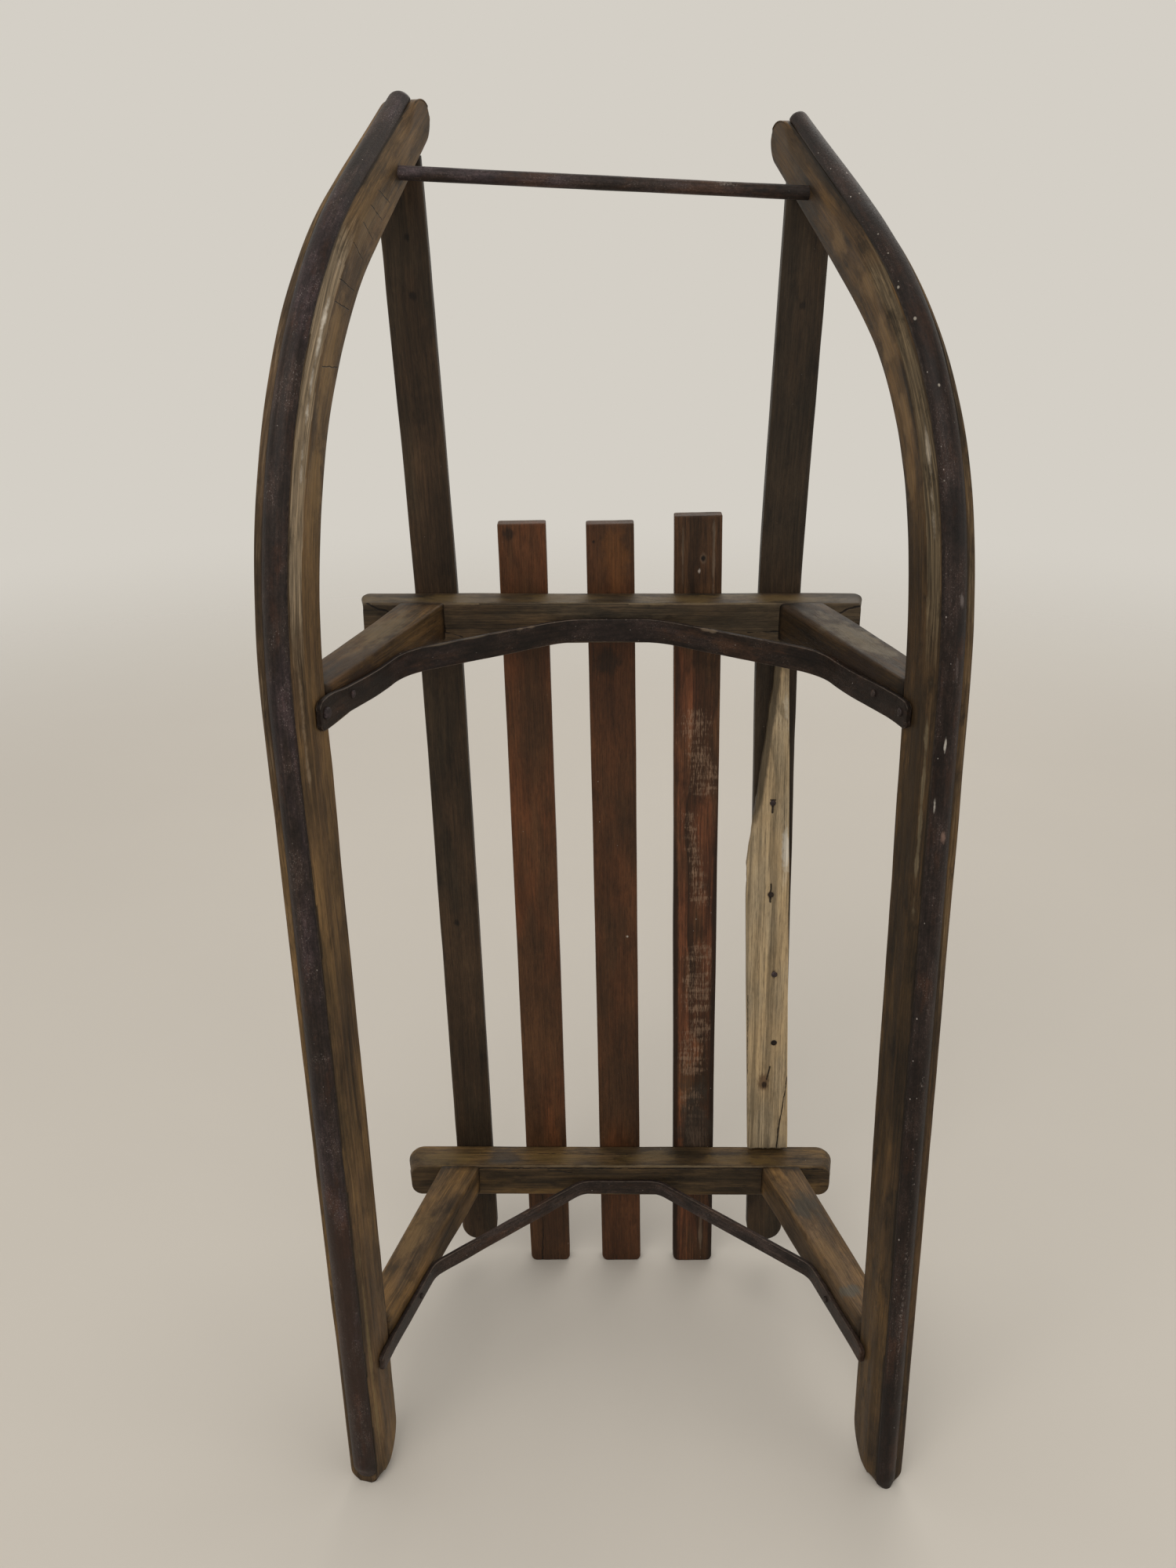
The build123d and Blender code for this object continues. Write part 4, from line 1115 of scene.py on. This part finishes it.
# piece: colour, colour of its other patches, seed, strength of patches, streaks, fibre, stains
# and flecks, and what only it has
WOODS = {
    "runner_right": ((76, 58, 38), (93, 72, 45), 11, 0.6, 0.35, 0.5, 0.45, 0.0,
                     {"weathered": (130, 114, 92), "contrast": 1.6}),
    "runner_left": ((58, 43, 26), (74, 55, 31), 12, 0.8, 0.35, 0.5, 0.7, 0.0,
                    {"weathered": (86, 74, 56), "contrast": 1.9}),
    "slat_right": ((71, 47, 29), (83, 50, 29), 31, 0.4, 0.15, 0.2, 0.25, 0.09, {"rough": 0.42}),
    "slat_middle": ((63, 42, 26), (75, 46, 27), 32, 0.4, 0.15, 0.2, 0.3, 0.08, {"rough": 0.42}),
    "slat_left": ((75, 51, 32), (92, 55, 35), 33, 0.5, 0.5, 0.6, 0.45, 0.12,
                  {"rings": (0.85, 4.0, (8, -60)), "weathered": (128, 104, 84), "contrast": 1.3,
                   "pale_marks": RUBBED}),
    "rail_right": ((49, 39, 28), (56, 42, 29), 41, 0.45, 0.25, 0.3, 0.4, 0.05, {}),
    "rail_left": ((45, 36, 26), (51, 39, 27), 42, 0.45, 0.25, 0.3, 0.4, 0.08,
                  {"scratches": 0.25}),
    "bench_front": ((62, 52, 39), (76, 60, 42), 51, 0.7, 0.45, 0.55, 0.6, 0.08, {}),
    "bench_rear": ((62, 49, 33), (84, 65, 39), 52, 0.8, 0.45, 0.55, 0.6, 0.06, {}),
    "leg_rear_right": ((80, 62, 41), (102, 77, 45), 61, 0.8, 0.4, 0.5, 0.5, 0.0, {}),
    "leg_rear_left": ((80, 63, 44), (100, 76, 46), 62, 0.8, 0.4, 0.5, 0.5, 0.0, {}),
    "leg_front_right": ((64, 46, 27), (84, 63, 37), 63, 0.7, 0.5, 0.6, 0.45, 0.0, {}),
    "leg_front_left": ((46, 33, 20), (58, 43, 26), 64, 0.7, 0.5, 0.6, 0.5, 0.0, {}),
    "splint": ((164, 141, 107), (153, 136, 109), 71, 0.25, 0.25, 0.6, 0.18, 0.0,
               {"wander": 2.2, "rings": (0.5, 1.5, (12, 90)), "light": 1.25, "rough": 0.6,
                "weathered": (184, 172, 152), "contrast": 1.3}),
}
# piece: colour, colour of its cold patches and of its rust, seed, strength of flecks, bared
# edges and glints
COLD = (56, 47, 48)
IRONS = {
    "shoe_right": ((45, 36, 32), (47, 38, 38), (56, 37, 28), 21, 0.1, 0.3, 0.6),
    "shoe_left": ((35, 26, 22), (39, 31, 28), (52, 35, 26), 22, 0.17, 0.25, 0.35),
    "strap_front": ((33, 25, 20), (36, 28, 25), (58, 40, 29), 23, 0.09, 0.4, 0.3),
    "strap_rear": ((44, 35, 30), (47, 39, 36), (62, 43, 32), 27, 0.07, 0.4, 0.3),
    "washers": ((47, 38, 33), COLD, (80, 54, 38), 26, 0.05, 0.3, 0.4),
    "rod": ((42, 34, 30), COLD, (62, 44, 34), 24, 0.04, 0.25, 0.4),
    "nails": ((38, 31, 27), COLD, (70, 46, 32), 25, 0.0, 0.4, 0.4),
    "screws": ((50, 42, 38), COLD, (74, 54, 42), 28, 0.0, 0.5, 0.4),
}
woods = {name: wood(name, *row, **own, spots=SPOTS.get(name, ()),
                    dark_marks=DARK_MARKS.get(name, ()))
         for name, (*row, own) in WOODS.items()}
irons = {name: iron(name, *row, spots=SPOTS.get(name, ())) for name, row in IRONS.items()}

for side, mirror, begin in (("right", True, 7.0), ("left", False, 0.0)):
    n = 100 if mirror else 200
    runner(side, mirror, woods[f"runner_{side}"], n)
    shoe(side, mirror, irons[f"shoe_{side}"], n + 10, begin)
    rail(side, mirror, woods[f"rail_{side}"], n + 20)
    washer(side, irons["washers"], n + 30)
    for name in BENCHES:
        leg(name, side, mirror, woods[f"leg_{name}_{side}"], n + 40 + len(name))
for name, x0, length, n in (("slat_right", -SLAT_PITCH, 568.5, 300),
                            ("slat_middle", 0.0, 568.5, 320),
                            ("slat_left", SLAT_PITCH, 573.5, 340)):
    slat(name, x0, length, woods[name], n)
bench("rear", 8.0, woods["bench_rear"], 400)
bench("front", 2.5, woods["bench_front"], 420)
strap("rear", 111.0, 20.0, 12.0, -3.8, (17.0, 25.0), 0.0, 0.0, irons["strap_rear"], 440)
strap("front", 88.0, 45.0, 15.0, -3.7, (21.0, 23.5), 4.6, 1.3, irons["strap_front"], 450)
tow_rod(irons["rod"], 460)
splint(woods["splint"], 470)

# nails seen from below, then the nails and screws of the seat
nails = [(settle([[x, UNDERSIDE - SPLINT_THICK - CLEAR, z]], RAILS["left"][0], None)[0],
          (0, -1, 0), r, 0.4)
         for x, z, r in ((103.8, 385.8, 2.2), (104.2, 318.4, 2.2), (108.5, 256.4, 2.4),
                         (109.7, 201.0, 2.4))]
scatter("nails_splint", nails, irons["nails"])
seat = []
for z in BENCHES.values():
    rails = [sign * float(np.interp(z, [RAIL_TAIL, BENCHES["front"]], RAILS[side][:2]))
             for side, sign in (("right", -1), ("left", 1))]
    for x in (rails[0], -SLAT_PITCH, 0.0, SLAT_PITCH, rails[1]):
        for dx, dz in ((-6.0, -4.0), (6.0, 4.0)):
            place = settle([[x + dx, UNDERSIDE + THICK - CLEAR, z + dz]], None, z + dz)[0]
            seat.append((place, (0.0, 1.0, 0.0), 2.3, 0.08))
scatter("nails_seat", seat, irons["nails"])
screws = []
along_leg = (TOP_IN - LEG_IN) / np.linalg.norm(TOP_IN - LEG_IN)
off_leg = np.array([-along_leg[1], along_leg[0]])
# trestle, side, how far up the leg (less than 0: down the runner), offset, radius, height
for name, side, back, dz, r, h in (
        ("front", -1, -9.5, 1.8, 3.7, 1.9), ("front", -1, 22.0, 1.2, 2.3, 0.9),
        ("front", 1, -6.0, 1.2, 2.4, 0.9), ("front", 1, 24.0, 1.0, 2.3, 0.9),
        ("rear", -1, 42.0, -3.8, 2.2, 1.1), ("rear", 1, 40.0, -3.8, 2.2, 1.1)):
    level = BENCHES[name]
    if back < 0:
        spot = in_sled(-WOOD_HALF - STRAP_OFF - STRAP_HALF, LEG_UP + back)
        way = np.array([-C, -S])
    else:
        spot, way = LEG_IN + along_leg * back + off_leg * (STRAP_OFF + STRAP_HALF), off_leg
    place = settle([[side * spot[0], spot[1], level + dz]], None, level)[0]
    screws.append((place, (side * way[0], way[1], 0.0), r, h))
scatter("screws_straps", screws, irons["screws"])


def floor_paper(colour, rough):
    """Slightly mottled paper that fades out far from the sled."""
    t = Tree(bpy.data.materials.new("floor_paper"))
    where = t.nodes.new("ShaderNodeTexCoord").outputs["Object"]
    tone = t.mix(t.noise(where, (3.0, 3.0, 3.0), 3, 0.5), shade(colour, 0.985),
                 shade(colour, 1.01))
    paper = t.node("BsdfPrincipled", {"Base Color": tone, "Roughness": rough})
    far = t.step(t.vec("LENGTH", where), 1.1, 2.6)
    t.node("OutputMaterial", {0: t.node("MixShader", {0: far, 1: paper,
                                                      2: t.node("BsdfTransparent", {})})})
    return t.owner


N = 48                          # spokes of the floor's disc
ring = [(0.0, 0.0)] + [(r * cos(a), r * sin(a)) for r in (1.0, 3.0)
                       for a in np.linspace(0, 2 * pi, N, endpoint=False)]
disc = bpy.data.meshes.new("floor")
disc.from_pydata([(x, y, 0.0) for x, y in ring], [],
                 [(0, 1 + i, 1 + (i + 1) % N) for i in range(N)]
                 + [(1 + i, 1 + N + i, 1 + N + (i + 1) % N, 1 + (i + 1) % N) for i in range(N)])
disc.materials.append(floor_paper((206, 199, 188), 0.85))
floor = bpy.data.objects.new("floor", disc)
bpy.context.scene.collection.objects.link(floor)

# the world is seen pale, by the camera and in reflections, and lights more softly
world = bpy.data.worlds.new("studio")
bpy.context.scene.world = world
t = Tree(world)
rays = t.nodes.new("ShaderNodeLightPath").outputs
seen = t.math("MAXIMUM", t.math("MAXIMUM", rays["Is Camera Ray"], rays["Is Glossy Ray"]),
              rays["Is Transmission Ray"])
t.node("OutputWorld", {0: t.node("MixShader", {
    0: seen,
    1: t.node("Background", {0: (1.0, 0.985, 0.96, 1.0), 1: 0.62}),
    2: t.node("Background", {0: linear((212, 207, 198)), 1: 1.0})})})


def put(name, data, columns, place):
    """An object whose X, Y and Z point along the columns."""
    thing = bpy.data.objects.new(name, data)
    rows = [(*(float(c[i]) for c in columns), place[i]) for i in range(3)]
    thing.matrix_world = Matrix(rows + [(0, 0, 0, 1)])
    bpy.context.scene.collection.objects.link(thing)
    return thing


for name, place, height, size, watts in (("key", (-0.7, -1.5, 2.3), 0.35, 1.5, 22.0),
                                         ("fill", (1.9, -1.3, 0.9), 0.35, 1.6, 7.0),
                                         ("back", (0.4, 1.8, 1.9), 0.4, 1.4, 9.0)):
    lamp = bpy.data.lights.new(name, "AREA")
    lamp.shape, lamp.size, lamp.energy = "SQUARE", size, watts
    lamp.color = (1.0, 0.97, 0.93)
    z = np.array(place, float) - (0, 0, height)
    z /= np.linalg.norm(z)
    x = np.cross((0, 0, 1), z)
    x /= np.linalg.norm(x)
    put(name, lamp, (x, np.cross(z, x), z), place)

# the photograph's viewpoint, with the right, down and forward directions of its frame
TURN_X, TURN_Y, TURN_Z = 0.4049, 0.0063, 0.0010
right, down, forward = (
    Matrix.Rotation(TURN_Z, 3, "Z") @ Matrix.Rotation(TURN_Y, 3, "Y")
    @ Matrix.Rotation(TURN_X, 3, "X") @ Matrix(((1, 0, 0), (0, -1, 0), (0, 0, -1)))
    @ Matrix(((1, 0, 0), (0, 0, 1), (0, -1, 0))))
lens = bpy.data.cameras.new("camera")
lens.lens, lens.sensor_width = 33.033, 36.0
lens.clip_start = 0.05
bpy.context.scene.camera = put("camera", lens, (right, -down, -forward),
                               (-0.013678, -0.779564, 0.768165))
bpy.context.scene.view_settings.view_transform = "Standard"
